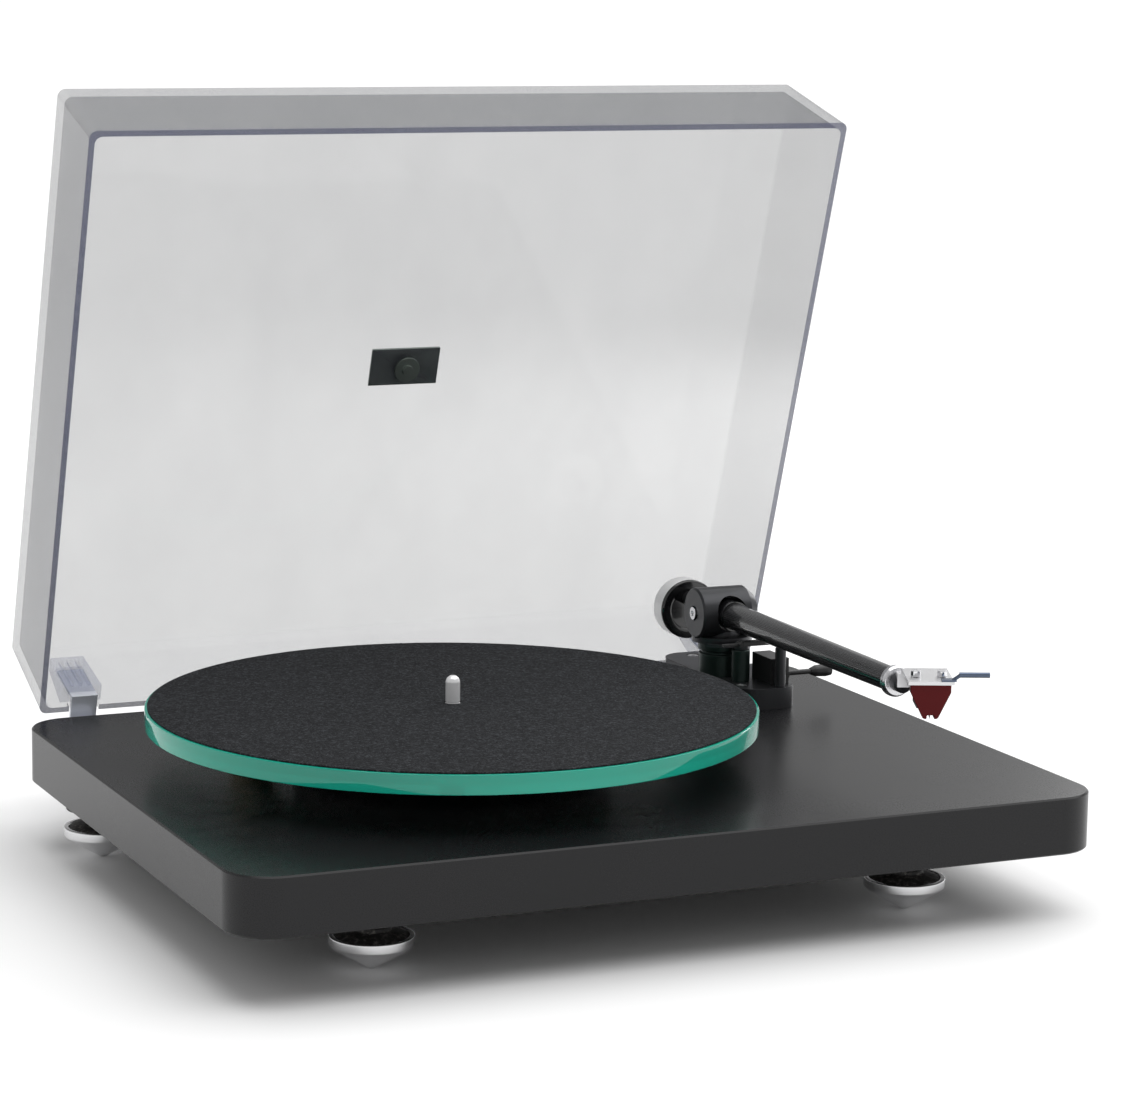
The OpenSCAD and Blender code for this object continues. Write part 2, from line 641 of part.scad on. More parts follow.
module cartridge_screws() color("silver") head_pose() for (side = [-1, 1])
    translate([side * screw_pitch / 2, screw_y, 0]) {
        translate([0, 0, cartridge_h - 5]) cylinder(h = plate_t + 5, r = 1.25);
        translate([0, 0, cartridge_h + plate_t]) difference() {
            cylinder(h = 3, r = 2.3);
            translate([0, 0, 2]) box([4.8, 0.7, 2], [-2.4, -0.35, 0]);
        }
    }

module cartridge_body() color([0.09, 0.07, 0.07]) head_pose() difference() {
    union() {
        box([17, 15, 6], [-8.5, 3, cartridge_h - 6]);
        box([12, 17, 9], [-6, 4, cartridge_h - 13]);
    }
    for (side = [-1, 1]) translate([side * screw_pitch / 2, screw_y, cartridge_h - 6]) cylinder(h = 8, r = 1.25);
}

// Stylus unit: tapered front shell with a notch that frames the stylus
shell_w = 19.4;
shell_low_w = 7.4;
module stylus_unit() color([0.45, 0.03, 0.04]) head_pose() rotate([90, 0, 0]) translate([0, 0, -3])
    linear_extrude(6) difference() {
        polygon([
            [-shell_w / 2, cartridge_h], [-shell_w / 2, cartridge_h - 4], [-shell_low_w / 2, 1],
            [-shell_low_w / 2 + 1, 0.6], [shell_low_w / 2 - 1, 0.6], [shell_low_w / 2, 1],
            [shell_w / 2, cartridge_h - 4], [shell_w / 2, cartridge_h]
        ]);
        translate([-1.7, 0]) square([3.4, 2.4]);
    }

module cantilever() color([0.7, 0.7, 0.7]) head_pose() {
    translate([0, 0.4, 0.9]) rotate([-72, 0, 0]) cylinder(h = 4.2, r = 0.35);
    translate([0, 0.4, 0]) cylinder(h = 1.2, r1 = 0.1, r2 = 0.4);
}

// Counterweight
weight_edge = 4;
module weight_stub() color([0.2, 0.2, 0.2]) arm_pose() translate([0, 2, 0]) along_y(stub_end - 2, stub_r);

module counterweight() color([0.85, 0.85, 0.86]) arm_pose() translate([0, weight_back, 0]) difference() {
    translate([0, 0, -weight_drop]) rotate([-90, 0, 0]) rotate_extrude() polygon([
        [0, 2], [weight_r, 2], [weight_r, weight_l - weight_edge], [weight_r - weight_edge, weight_l], [0, weight_l]
    ]);
    translate([0, -1, 0]) along_y(weight_l + 2, stub_r + thread_fit);
}

module weight_dial() color([0.04, 0.04, 0.04]) arm_pose() translate([0, weight_back, 0]) difference() {
    translate([0, 0, -weight_drop]) rotate([-90, 0, 0]) rotate_extrude() polygon([
        [0, 1], [weight_r - 5.5, 1], [weight_r - 5, 0], [weight_r - 1, 0], [weight_r, 1], [weight_r, 2], [0, 2]
    ]);
    translate([0, -1, 0]) along_y(4, stub_r + thread_fit);
}

// Cueing lift
module lift_cylinder() color([0.08, 0.08, 0.085]) deck() translate([lift_x, lift_y, 0]) rotate_extrude() polygon([
    [0, base_t - 4], [3, base_t - 4], [3, base_t], [lift_r, base_t], [lift_r, lift_top - 0.4],
    [lift_r - 0.4, lift_top], [2 + shaft_fit, lift_top], [2 + shaft_fit, base_t + 2], [0, base_t + 2]
]);

module lift_rail() color([0.1, 0.1, 0.105]) deck() translate([lift_x, lift_y, 0]) {
    translate([0, 0, base_t + 3]) cylinder(h = rail_z - base_t - 2, r = 2);
    translate([0, 0, lift_top + gap]) cylinder(h = rail_z + 1.6 - lift_top - gap, r = lift_r - 0.5);
    translate([pivot_x - lift_x, pivot_y - lift_y, rail_z]) rotate([0, 0, 222])
        rotate_extrude(angle = 78) translate([rail_r, 0]) square([2, 1.6]);
}

// Housing of the lift's lever, a block with an adjusting pin on top
housing_w = 10.5;
block_low = post_y + 4.5;
lever_x = base_x + base_w / 2 - 5;
lever_hub_r = 2.4;
module lift_housing() color([0.09, 0.09, 0.1]) deck() difference() {
    union() {
        box([housing_w, pivot_y - 16 - block_low, housing_top - base_t],
            [lever_x + 1 - housing_w, block_low, base_t]);
        translate([lever_x - 2, block_low + 2.2, housing_top - 1]) cylinder(h = 5.2, r = 1.4);
    }
    box([8, 10, 12], [lever_x - lever_hub_r - gap, housing_y - 5, base_t - 1]);
    translate([lever_x, housing_y, lever_z]) along_y_centre(14, 1 + shaft_fit);
}

module lift_lever() color([0.06, 0.06, 0.06]) deck() translate([lever_x, housing_y, lever_z]) {
    along_y_centre(9.2, lever_hub_r);
    along_y_centre(13, 1);
    rotate([0, 90, 0]) cylinder(h = 18, r = 1.4);
    translate([17, 0, 0]) rotate([0, 90, 0]) rotate_extrude() polygon([
        [0, 0], [1.8, 0], [3, 3], [3.4, 9], [2.9, 12], [0, 12.5]
    ]);
}

module along_y_centre(length, r) rotate([90, 0, 0]) cylinder(h = length, r = r, center = true);

// Arm rest
module rest_post() color([0.08, 0.08, 0.085]) deck() translate([post_x, post_y, 0]) rotate_extrude() polygon([
    [0, base_t - 4], [2, base_t - 4], [2, base_t], [2.9, base_t], [2.9, rest_top - rest_t - 3],
    [2.4, rest_top - rest_t - 2], [2.4, rest_top - rest_t], [1.2, rest_top - rest_t], [1.2, rest_top], [0, rest_top]
]);

// Cradle: a saddle under the tube, fixed on the post, with an outer prong and ears for the clip
saddle_end = post_x + 3.2;
prong_x = rest_x + 9.2;
module rest_cradle() color([0.08, 0.08, 0.085]) deck() translate([0, post_y, 0]) difference() {
    union() {
        box([saddle_end - clip_x - 1.8, 5, rest_t], [clip_x + 1.8, -2.5, rest_top - rest_t]);
        box([2.4, 5, 6], [prong_x, -2.5, rest_top - eps]);
        for (side = [-1, 1]) translate([clip_x, side * 1.9, clip_z]) {
            along_y_centre(1.2, 1.4);
            box([3, 1.2, 2], [0, -0.6, -0.9]);
        }
    }
    translate([clip_x, 0, clip_z]) along_y_centre(8, clip_pin_r + shaft_fit);
    translate([post_x, 0, rest_top - rest_t - 1]) cylinder(h = rest_t + 2, r = 1.2);
}

// Clip unlatched: it lies outward, and closes upward beside the tube
clip_pin_r = 0.65;
module rest_clip() color([0.1, 0.1, 0.105]) deck() translate([clip_x, post_y, clip_z]) {
    along_y_centre(5, clip_pin_r);
    along_y_centre(2, 1.3);
    box([10, 2, 1.4], [-10, -1, -0.7]);
}

// Lid, drawn closed
module lid_block(inset, low, high) hull() for (x = [-1, 1], end = [0, 1]) {
    y = end == 0 ? lid_rear - inset - 4 : lid_rear - lid_d + inset + 4;
    lean = (end == 0 ? -1 : 1) * lid_draft;
    translate([x * (lid_w / 2 - inset - 4), y, low]) cylinder(h = eps, r = 4, $fn = 32);
    translate([x * (lid_w / 2 - inset - 4 - lid_draft), y + lean, high - eps]) cylinder(h = eps, r = 4, $fn = 32);
}

module lid_shell() color([0.75, 0.77, 0.82, 0.35]) lid_pose() difference() {
    lid_block(0, lid_lift, lid_lift + lid_h);
    lid_block(lid_wall, lid_lift - eps, lid_lift + lid_h - lid_wall);
    each_hinge() box([leaf_w + 2, lid_wall + 4, notch_h], [-leaf_w / 2 - 1, lid_rear - lid_wall - 2, lid_lift - eps]);
    translate([0, lid_rear - lid_d / 2, lid_lift + lid_h - lid_wall - 1]) cylinder(h = lid_wall + 2, r = 3);
}

// Clear moulded sockets inside the rear wall, open below for the hinge leaves
module lid_sockets() color([0.8, 0.82, 0.88, 0.5]) lid_pose() intersection() {
    lid_block(lid_wall, lid_lift, lid_lift + lid_h - lid_wall);
    each_hinge() hinge_socket();
}

module hinge_socket()
    translate([0, lid_rear - lid_wall, lid_lift + notch_h]) difference() {
        rotate([90, 0, 0]) linear_extrude(socket_d) polygon([
            [-socket_w / 2 - 2, 0], [socket_w / 2, 0], [socket_w / 2 - 1, socket_h - notch_h],
            [-socket_w / 2 + 1, socket_h - notch_h]
        ]);
        box([leaf_w + 0.1, leaf_t + 0.1, 27], [-leaf_w / 2 - 0.05, -socket_d / 2 - leaf_t / 2 - 0.05, -eps]);
        for (x = [-4.5, 0, 4.5]) box([1.6, 2.4, 24], [x - 0.8, -socket_d - 0.1, 4]);
    }

module lid_badge() color([0.3, 0.33, 0.3]) lid_pose() translate([0, lid_rear - lid_d / 2, lid_lift + lid_h]) {
    slab_plate();
    translate([0, 0, -lid_wall]) cylinder(h = lid_wall + 0.2, r = 3);
    translate([0, 0, -lid_wall - 1.4]) cylinder(h = 1.4, r = 7);
    translate([0, 0, -lid_wall - 2.6]) cylinder(h = 1.4, r = 2.8);
}

module slab_plate() difference() {
    box([badge_w, badge_h, 1.6], [-badge_w / 2, -badge_h / 2, 0]);
    for (x = [-1, 1]) translate([x * badge_w / 2, 0, 1.6]) rotate([0, 45, 0]) cube([1, badge_h + 2, 1], center = true);
}

// Hinges: brackets screwed to the plinth's rear face, leaves that carry the lid
knuckle_r = 3.6;
module hinge_brackets() color([0.12, 0.12, 0.12]) deck() each_hinge() {
    difference() {
        union() {
            box([30, 1.8, plinth_t - 2 - hinge_drop - knuckle_r - gap], [-15, rear_y, -plinth_t + 2]);
            for (side = [-1, 1]) translate([side * 11, 0, 0]) {
                translate([0, hinge_y, -hinge_drop]) along_x(6, knuckle_r);
                box([6, hinge_back, 5], [-3, rear_y, -hinge_drop - 5]);
            }
        }
        translate([0, hinge_y, -hinge_drop]) along_x(40, pin_r);
        for (side = [-1, 1]) translate([side * 8, rear_y - 1, -plinth_t + 6.4]) along_y(4, 1.6);
    }
    translate([0, hinge_y, -hinge_drop]) along_x(30, pin_r);
    for (side = [-1, 1]) translate([side * 8, rear_y, -plinth_t + 6.4]) {
        along_y(1.8, 1.6);
        translate([0, 1.8, 0]) along_y(1.4, 3);
    }
}

// Leaf: barrel, riser behind the plinth, step through the rim notch and tongue in the socket
tongue_y = lid_rear - lid_wall - socket_d / 2;
step_z = lid_lift + 0.4;
module hinge_leaves() color([0.55, 0.56, 0.58]) lid_pose() each_hinge() difference() {
    union() {
        translate([0, hinge_y, -hinge_drop]) along_x(leaf_w, knuckle_r);
        box([leaf_w, leaf_t, step_z + leaf_t + hinge_drop], [-leaf_w / 2, hinge_y + knuckle_r - leaf_t, -hinge_drop]);
        box([leaf_w, hinge_y + knuckle_r - tongue_y, leaf_t], [-leaf_w / 2, tongue_y, step_z]);
        box([leaf_w, leaf_t, 28], [-leaf_w / 2, tongue_y - leaf_t / 2, step_z]);
    }
    translate([0, hinge_y, -hinge_drop]) along_x(leaf_w + 2, pin_r + shaft_fit);
}

plinth();
foot_inserts();
foot_spacers();
front_left_foot();
front_right_foot();
rear_left_foot();
rear_right_foot();
front_left_pad();
front_right_pad();
rear_left_pad();
rear_right_pad();
bearing_housing();
bearing_bush();
thrust_ball();
spindle();
sub_platter();
glass_platter();
felt_mat();
drive_belt();
motor_body();
motor_damper();
motor_shaft();
motor_pulley();
control_board();
bottom_cover();
cover_screws();
power_socket();
signal_sockets();
ground_post();
switch_housing();
switch_rocker();
arm_base();
arm_base_screws();
arm_pillar();
arm_yoke();
yoke_bearing_screws();
arm_hub();
arm_tube();
head_collar();
headshell();
finger_lift();
cartridge_screws();
cartridge_body();
stylus_unit();
cantilever();
weight_stub();
counterweight();
weight_dial();
lift_cylinder();
lift_rail();
lift_housing();
lift_lever();
rest_post();
rest_cradle();
rest_clip();
lid_shell();
lid_sockets();
lid_badge();
hinge_brackets();
hinge_leaves();
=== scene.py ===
"""Studio scene of a belt-drive turntable: slab plinth, glass platter, gimballed arm and open clear lid."""

import json
import logging
import math
from dataclasses import dataclass, field
from enum import Enum
from typing import Optional, Sequence

import bmesh
import bpy
from mathutils import Matrix, Vector


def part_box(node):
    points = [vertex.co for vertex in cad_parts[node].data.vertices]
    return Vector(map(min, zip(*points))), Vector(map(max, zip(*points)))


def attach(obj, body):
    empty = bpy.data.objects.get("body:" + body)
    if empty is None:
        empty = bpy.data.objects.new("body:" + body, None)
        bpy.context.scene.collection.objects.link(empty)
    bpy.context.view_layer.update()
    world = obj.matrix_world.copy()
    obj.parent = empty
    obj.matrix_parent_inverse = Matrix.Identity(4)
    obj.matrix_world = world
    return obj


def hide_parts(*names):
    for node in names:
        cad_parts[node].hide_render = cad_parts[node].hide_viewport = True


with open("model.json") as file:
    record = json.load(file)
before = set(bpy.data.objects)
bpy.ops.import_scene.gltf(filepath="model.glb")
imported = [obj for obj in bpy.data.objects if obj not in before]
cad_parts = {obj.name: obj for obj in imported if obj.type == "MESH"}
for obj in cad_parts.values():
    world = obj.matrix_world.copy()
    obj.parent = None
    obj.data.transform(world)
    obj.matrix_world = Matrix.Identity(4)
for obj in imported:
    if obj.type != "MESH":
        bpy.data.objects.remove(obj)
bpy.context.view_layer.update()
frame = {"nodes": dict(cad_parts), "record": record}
LOG = logging.getLogger("turntable")
MM = 0.001
Point2 = tuple[float, float]
Colour = tuple[float, float, float]


class Role(Enum):
    """How a clear part bends light."""

    GLASS = "glass"
    ACRYLIC = "acrylic"


class Lay(Enum):
    """The direction of a metal's fine tool marks."""

    TURNED = "turned"
    STRAIGHT = "straight"
    CAST = "cast"


# --------------------------------------------------------------------------- shader expressions


class Value:
    """A shader socket that takes part in Python arithmetic."""

    def __init__(self, graph: "Graph", socket: bpy.types.NodeSocket) -> None:
        """Keeps the socket and the graph it belongs to."""
        self.graph = graph
        self.socket = socket

    def _math(self, operation: str, *terms: "Value | float") -> "Value":
        """Adds one Math node.

        Args:
            operation: the Math node's operation.
            terms: its inputs, in order.

        Returns:
            The node's result.
        """
        inputs = {index: term for index, term in enumerate(terms)}
        node = self.graph.node("ShaderNodeMath", {"operation": operation}, inputs)
        return Value(self.graph, node.outputs[0])

    def __add__(self, other: "Value | float") -> "Value":
        """self + other."""
        return self._math("ADD", self, other)

    __radd__ = __add__

    def __sub__(self, other: "Value | float") -> "Value":
        """self - other."""
        return self._math("SUBTRACT", self, other)

    def __rsub__(self, other: float) -> "Value":
        """other - self."""
        return self._math("SUBTRACT", other, self)

    def __mul__(self, other: "Value | float") -> "Value":
        """self * other."""
        return self._math("MULTIPLY", self, other)

    __rmul__ = __mul__

    def __pow__(self, other: float) -> "Value":
        """self to the power other."""
        return self._math("POWER", self, other)

    def sine(self) -> "Value":
        """The sine of self."""
        return self._math("SINE", self)

    def clamped(self) -> "Value":
        """self held between 0 and 1."""
        return self._math("MINIMUM", self._math("MAXIMUM", self, 0.0), 1.0)


class Graph:
    """The node tree of one material, in Object coordinates."""

    def __init__(self, name: str) -> None:
        """Starts a material with an empty tree, a Principled shader and an output."""
        self.material = bpy.data.materials.new(name)
        self.material.use_nodes = True
        self.tree = self.material.node_tree
        self.tree.nodes.clear()
        self.shader = self.node("ShaderNodeBsdfPrincipled")
        self.output = self.node("ShaderNodeOutputMaterial", {}, {"Surface": self.shader.outputs[0]})
        self.place = self.node("ShaderNodeTexCoord").outputs["Object"]

    def node(self, kind: str, settings: Optional[dict] = None, inputs: Optional[dict] = None) -> bpy.types.Node:
        """Adds a node.

        Args:
            kind: the node's type.
            settings: its properties, set first; "stops" fills a colour ramp.
            inputs: values or links for its sockets, by name or index.

        Returns:
            The new node.
        """
        made = self.tree.nodes.new(kind)
        for key, value in (settings or {}).items():
            if key == "stops":
                ramp = made.color_ramp
                while len(ramp.elements) < len(value):
                    ramp.elements.new(0.5)
                for element, (position, tone) in zip(ramp.elements, value):
                    element.position = position
                    element.color = (*tone, 1.0)
            else:
                setattr(made, key, value)
        for key, value in (inputs or {}).items():
            socket = made.inputs[key]
            source = value.socket if isinstance(value, Value) else value
            if isinstance(source, bpy.types.NodeSocket):
                self.tree.links.new(source, socket)
            else:
                socket.default_value = source
        return made

    def noise(self, scale: float, detail: float = 4.0, roughness: float = 0.55, where=None) -> Value:
        """Noise from 0 to 1.

        Args:
            scale: cells per metre.
            detail: octaves.
            roughness: weight of the finer octaves.
            where: the vector it reads, or the object's own place.

        Returns:
            The noise value.
        """
        inputs = {"Vector": where or self.place, "Scale": scale, "Detail": detail, "Roughness": roughness}
        return Value(self, self.node("ShaderNodeTexNoise", {}, inputs).outputs[0])

    def stretched(self, size: Sequence[float], centre: Sequence[float] = (0, 0, 0)) -> bpy.types.NodeSocket:
        """The place after a move to centre and a scale of each axis."""
        moved = self.node("ShaderNodeVectorMath", {"operation": "SUBTRACT"}, {0: self.place, 1: tuple(centre)})
        scaled = {0: moved.outputs[0], 1: tuple(size)}
        return self.node("ShaderNodeVectorMath", {"operation": "MULTIPLY"}, scaled).outputs[0]

    def turned(self, centre: Sequence[float], along: Vector) -> tuple[Value, Value]:
        """Distance from a turning axis and distance along it.

        Args:
            centre: a point on the axis.
            along: the axis.

        Returns:
            The radius and the height, in metres.
        """
        offset = self.node("ShaderNodeVectorMath", {"operation": "SUBTRACT"}, {0: self.place, 1: tuple(centre)})
        dot = {0: offset.outputs[0], 1: tuple(along)}
        height = self.node("ShaderNodeVectorMath", {"operation": "DOT_PRODUCT"}, dot)
        cross = self.node("ShaderNodeVectorMath", {"operation": "CROSS_PRODUCT"}, dot)
        radius = self.node("ShaderNodeVectorMath", {"operation": "LENGTH"}, {0: cross.outputs[0]})
        return Value(self, radius.outputs["Value"]), Value(self, height.outputs["Value"])

    def vector(self, x: "Value | float", y: "Value | float", z: "Value | float") -> bpy.types.NodeSocket:
        """A vector from three values."""
        return self.node("ShaderNodeCombineXYZ", {}, {0: x, 1: y, 2: z}).outputs[0]

    def blend(self, factor: "Value | float", low: Colour, high: Colour) -> bpy.types.NodeSocket:
        """A colour between low and high."""
        inputs = {0: factor, 6: (*low, 1.0), 7: (*high, 1.0)}
        return self.node("ShaderNodeMix", {"data_type": "RGBA"}, inputs).outputs[2]

    def bump(self, height: Value, depth: float, strength: float = 1.0) -> None:
        """Feeds a height, in units of depth metres, to the shader's normal."""
        inputs = {"Height": height, "Distance": depth, "Strength": strength}
        self.feed("Normal", self.node("ShaderNodeBump", {}, inputs).outputs[0])

    def feed(self, name: str, source: "Value | bpy.types.NodeSocket") -> None:
        """Links a varying value to one of the shader's inputs."""
        socket = source.socket if isinstance(source, Value) else source
        self.tree.links.new(socket, self.shader.inputs[name])

    def fix(self, **sockets: "float | Sequence[float]") -> None:
        """Sets the shader's constant inputs; an underscore stands for a space."""
        for name, value in sockets.items():
            self.shader.inputs[name.replace("_", " ")].default_value = value


# --------------------------------------------------------------------------- finishes


def shade(colour: Colour, factor: float) -> Colour:
    """A colour made lighter or darker by a factor."""
    return tuple(min(1.0, channel * factor) for channel in colour)


@dataclass(frozen=True)
class Finish:
    """What every finish has: a name, a colour and a roughness."""

    name: str
    colour: Colour
    roughness: float

    def material(self) -> bpy.types.Material:
        """The finish as a material, made once."""
        if self.name in bpy.data.materials:
            return bpy.data.materials[self.name]
        graph = Graph(self.name)
        self.dress(graph)
        return graph.material

    def dress(self, graph: Graph) -> None:
        """Wires the shader."""
        raise NotImplementedError


@dataclass(frozen=True)
class Paint(Finish):
    """Sprayed paint with a faint orange peel, dust and slow changes of sheen."""

    peel: float = 0.00001
    peel_scale: float = 900.0
    coat: float = 0.0
    gloss: float = 0.5

    def dress(self, graph: Graph) -> None:
        """Wires colour, sheen and peel."""
        cloud = graph.noise(9.0, 3.0)
        speck = graph.noise(2600.0, 2.0)
        graph.feed("Base Color", graph.blend(cloud, shade(self.colour, 0.85), shade(self.colour, 1.15)))
        graph.feed("Roughness", self.roughness - 0.03 + cloud * 0.04 + speck * 0.03)
        graph.bump(graph.noise(self.peel_scale, 2.0), self.peel)
        graph.fix(Coat_Weight=self.coat, Coat_Roughness=0.05, Specular_IOR_Level=self.gloss)


@dataclass(frozen=True)
class Metal(Finish):
    """Bare or anodised metal with tool marks."""

    lay: Lay = Lay.CAST
    centre: tuple[float, float, float] = (0.0, 0.0, 0.0)
    along: tuple[float, float, float] = (0.0, 0.0, 1.0)
    metallic: float = 1.0
    mark: float = 0.0000025
    coat: float = 0.0

    def dress(self, graph: Graph) -> None:
        """Wires colour, marks and uneven polish."""
        if self.lay is Lay.TURNED:
            radius, height = graph.turned(self.centre, Vector(self.along))
            lines = graph.noise(1.0, 3.0, 0.7, graph.vector(radius * 9000.0, height * 9000.0, 0.0))
        elif self.lay is Lay.STRAIGHT:
            lines = graph.noise(1.0, 3.0, 0.7, graph.stretched((60.0, 5200.0, 5200.0)))
        else:
            lines = graph.noise(3200.0, 3.0, 0.6)
        patch = graph.noise(70.0, 3.0)
        tone = (lines * 0.6 + patch * 0.4).clamped()
        graph.feed("Base Color", graph.blend(tone, shade(self.colour, 0.86), shade(self.colour, 1.1)))
        graph.feed("Roughness", self.roughness - 0.06 + lines * 0.1 + patch * 0.04)
        graph.bump(lines, self.mark)
        graph.fix(Metallic=self.metallic, Coat_Weight=self.coat, Coat_Roughness=0.04)


@dataclass(frozen=True)
class Plastic(Finish):
    """Moulded plastic or rubber with a fine texture."""

    grain: float = 1800.0
    depth: float = 0.00001
    coat: float = 0.0
    gloss: float = 0.5

    def dress(self, graph: Graph) -> None:
        """Wires colour, moulded grain and handling wear."""
        grain = graph.noise(self.grain, 3.0, 0.6)
        wear = graph.noise(45.0, 4.0)
        graph.feed("Base Color", graph.blend(wear, shade(self.colour, 0.8), shade(self.colour, 1.2)))
        graph.feed("Roughness", self.roughness - 0.04 + wear * 0.06 + grain * 0.03)
        graph.bump(grain, self.depth)
        graph.fix(Coat_Weight=self.coat, Coat_Roughness=0.04, Specular_IOR_Level=self.gloss)


@dataclass(frozen=True)
class Mottle(Finish):
    """Dark elastomer with paler grains pressed into it."""

    fleck: Colour = (0.16, 0.15, 0.14)

    def dress(self, graph: Graph) -> None:
        """Wires grains, their relief and a matt sheen."""
        coarse = graph.noise(420.0, 5.0, 0.7)
        fleck = ((coarse - 0.5) * 7.0).clamped()
        graph.feed("Base Color", graph.blend(fleck, self.colour, self.fleck))
        graph.feed("Roughness", self.roughness + fleck * 0.12)
        graph.bump(coarse, 0.0004)


@dataclass(frozen=True)
class Felt(Finish):
    """Pressed wool: matted fibres, a soft bloom and slow tone changes."""

    def dress(self, graph: Graph) -> None:
        """Wires fibre tone and fibre relief."""
        fibre = graph.noise(800.0, 5.0, 0.8)
        clump = graph.noise(420.0, 3.0, 0.6)
        streak = graph.noise(1.0, 6.0, 0.7, graph.stretched((1500.0, 420.0, 700.0)))
        tone = (fibre * 0.55 + clump * 0.25 + streak * 0.2).clamped()
        ramp = {"stops": [(0.36, shade(self.colour, 0.3)), (0.5, self.colour), (0.64, shade(self.colour, 4.4))]}
        graph.feed("Base Color", graph.node("ShaderNodeValToRGB", ramp, {0: tone}).outputs[0])
        graph.feed("Roughness", self.roughness - fibre * 0.06)
        graph.bump(fibre * 0.7 + clump * 0.3, 0.0011)
        graph.fix(Specular_IOR_Level=0.15)


@dataclass(frozen=True)
class Carbon(Finish):
    """Carbon fibre twill under clear lacquer."""

    centre: tuple[float, float, float] = (0.0, 0.0, 0.0)
    along: tuple[float, float, float] = (0.0, -1.0, 0.0)
    pitch: float = 0.0022

    def dress(self, graph: Graph) -> None:
        """Wires the weave and the lacquer over it."""
        split = graph.node("ShaderNodeSeparateXYZ", {}, {0: graph.stretched((1, 1, 1), self.centre)})
        height = graph.turned(self.centre, Vector(self.along))[1]
        across = Value(graph, split.outputs[0]) + Value(graph, split.outputs[2])
        turn = 2.0 * math.pi / self.pitch
        twill = ((height + across) * turn).sine() * ((height - across) * turn).sine()
        weave = (twill * 2.5 + 0.5).clamped()
        graph.feed("Base Color", graph.blend(weave, shade(self.colour, 0.6), shade(self.colour, 2.0)))
        graph.feed("Roughness", self.roughness - 0.05 + weave * 0.12)
        graph.bump(weave, 0.000012)
        graph.fix(Coat_Weight=1.0, Coat_Roughness=0.03, Metallic=0.1)


@dataclass(frozen=True)
class Clear(Finish):
    """Transparent sheet: glass with a green edge or cast acrylic."""

    role: Role = Role.ACRYLIC
    ior: float = 1.49
    haze: float = 0.01
    through: float = 1.0
    body: float = 0.2
    rim: float = 0.5

    def dress(self, graph: Graph) -> None:
        """Wires a clear shader with faint wipe marks."""
        wipe = graph.noise(1.0, 4.0, 0.6, graph.stretched((28.0, 9.0, 18.0)))
        dust = ((graph.noise(900.0, 2.0) - 0.72) * 12.0).clamped()
        graph.feed("Roughness", self.roughness + wipe * self.haze + dust * 0.05)
        graph.feed("Base Color", graph.blend(wipe, shade(self.colour, 0.94), shade(self.colour, 1.06)))
        graph.fix(IOR=self.ior)
        if self.role is Role.GLASS:
            graph.fix(Transmission_Weight=self.through)
            return
        rim = Value(graph, graph.node("ShaderNodeLayerWeight", {}, {"Blend": 0.4}).outputs["Facing"])
        graph.feed("Alpha", (self.body + rim**3.0 * self.rim + wipe * 0.05 - 0.025).clamped())


@dataclass(frozen=True)
class Ground(Finish):
    """The studio floor: pale paper with a trace of tooth."""

    def dress(self, graph: Graph) -> None:
        """Wires an even pale surface."""
        tooth = graph.noise(600.0, 3.0)
        graph.feed("Base Color", graph.blend(tooth, shade(self.colour, 0.99), self.colour))
        graph.fix(Roughness=self.roughness, Specular_IOR_Level=0.1)


# --------------------------------------------------------------------------- mesh tools


def turn_to(origin: Vector, along: Vector) -> Matrix:
    """The frame whose Z runs along a direction from an origin."""
    return Matrix.Translation(origin) @ along.to_track_quat("Z", "Y").to_matrix().to_4x4()


def rounded(profile: Sequence[Point2], radius: float, steps: int = 4, closed: bool = False) -> list[Point2]:
    """Rounds the corners of a profile.

    Args:
        profile: points in millimetres.
        radius: how far along each side the rounding reaches.
        steps: pieces in each rounded corner.
        closed: whether the last point joins the first.

    Returns:
        The finer profile.
    """
    points = [Vector(point) for point in profile]
    count = len(points)
    result: list[Point2] = []
    for index, corner in enumerate(points):
        if not closed and index in (0, count - 1):
            result.append(tuple(corner))
            continue
        before, after = points[index - 1], points[(index + 1) % count]
        reach_in = min(radius, (before - corner).length * 0.45)
        reach_out = min(radius, (after - corner).length * 0.45)
        start = corner + (before - corner).normalized() * reach_in
        end = corner + (after - corner).normalized() * reach_out
        for step in range(steps + 1):
            t = step / steps
            spot = start * (1 - t) ** 2 + corner * 2 * t * (1 - t) + end * t**2
            result.append(tuple(spot))
    return result


def evaluated(carrier: bpy.types.Object, modifier: bpy.types.Modifier, name: str) -> bpy.types.Mesh:
    """Bakes an object's one modifier into a plain mesh and removes the object.

    Args:
        carrier: a linked object.
        modifier: its modifier.
        name: the new mesh's name.

    Returns:
        The plain mesh.
    """
    bpy.context.view_layer.update()
    made = bpy.data.meshes.new_from_object(carrier.evaluated_get(bpy.context.evaluated_depsgraph_get()))
    made.name = name
    carrier.modifiers.remove(modifier)
    bpy.data.objects.remove(carrier)
    return made


def linked(name: str, mesh: bpy.types.Mesh) -> bpy.types.Object:
    """A new object for a mesh, in the scene."""
    made = bpy.data.objects.new(name, mesh)
    bpy.context.scene.collection.objects.link(made)
    return made


def joined(first: bpy.types.Mesh, second: bpy.types.Mesh) -> bpy.types.Mesh:
    """The first mesh with the second's faces added to it."""
    shape = bmesh.new()
    shape.from_mesh(first)
    shape.from_mesh(second)
    shape.to_mesh(first)
    shape.free()
    return first


def corners_of(node: str) -> tuple[Vector, Vector]:
    """The lowest and highest corner of a CAD node's box, in metres."""
    low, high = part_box(node)
    return Vector(low), Vector(high)


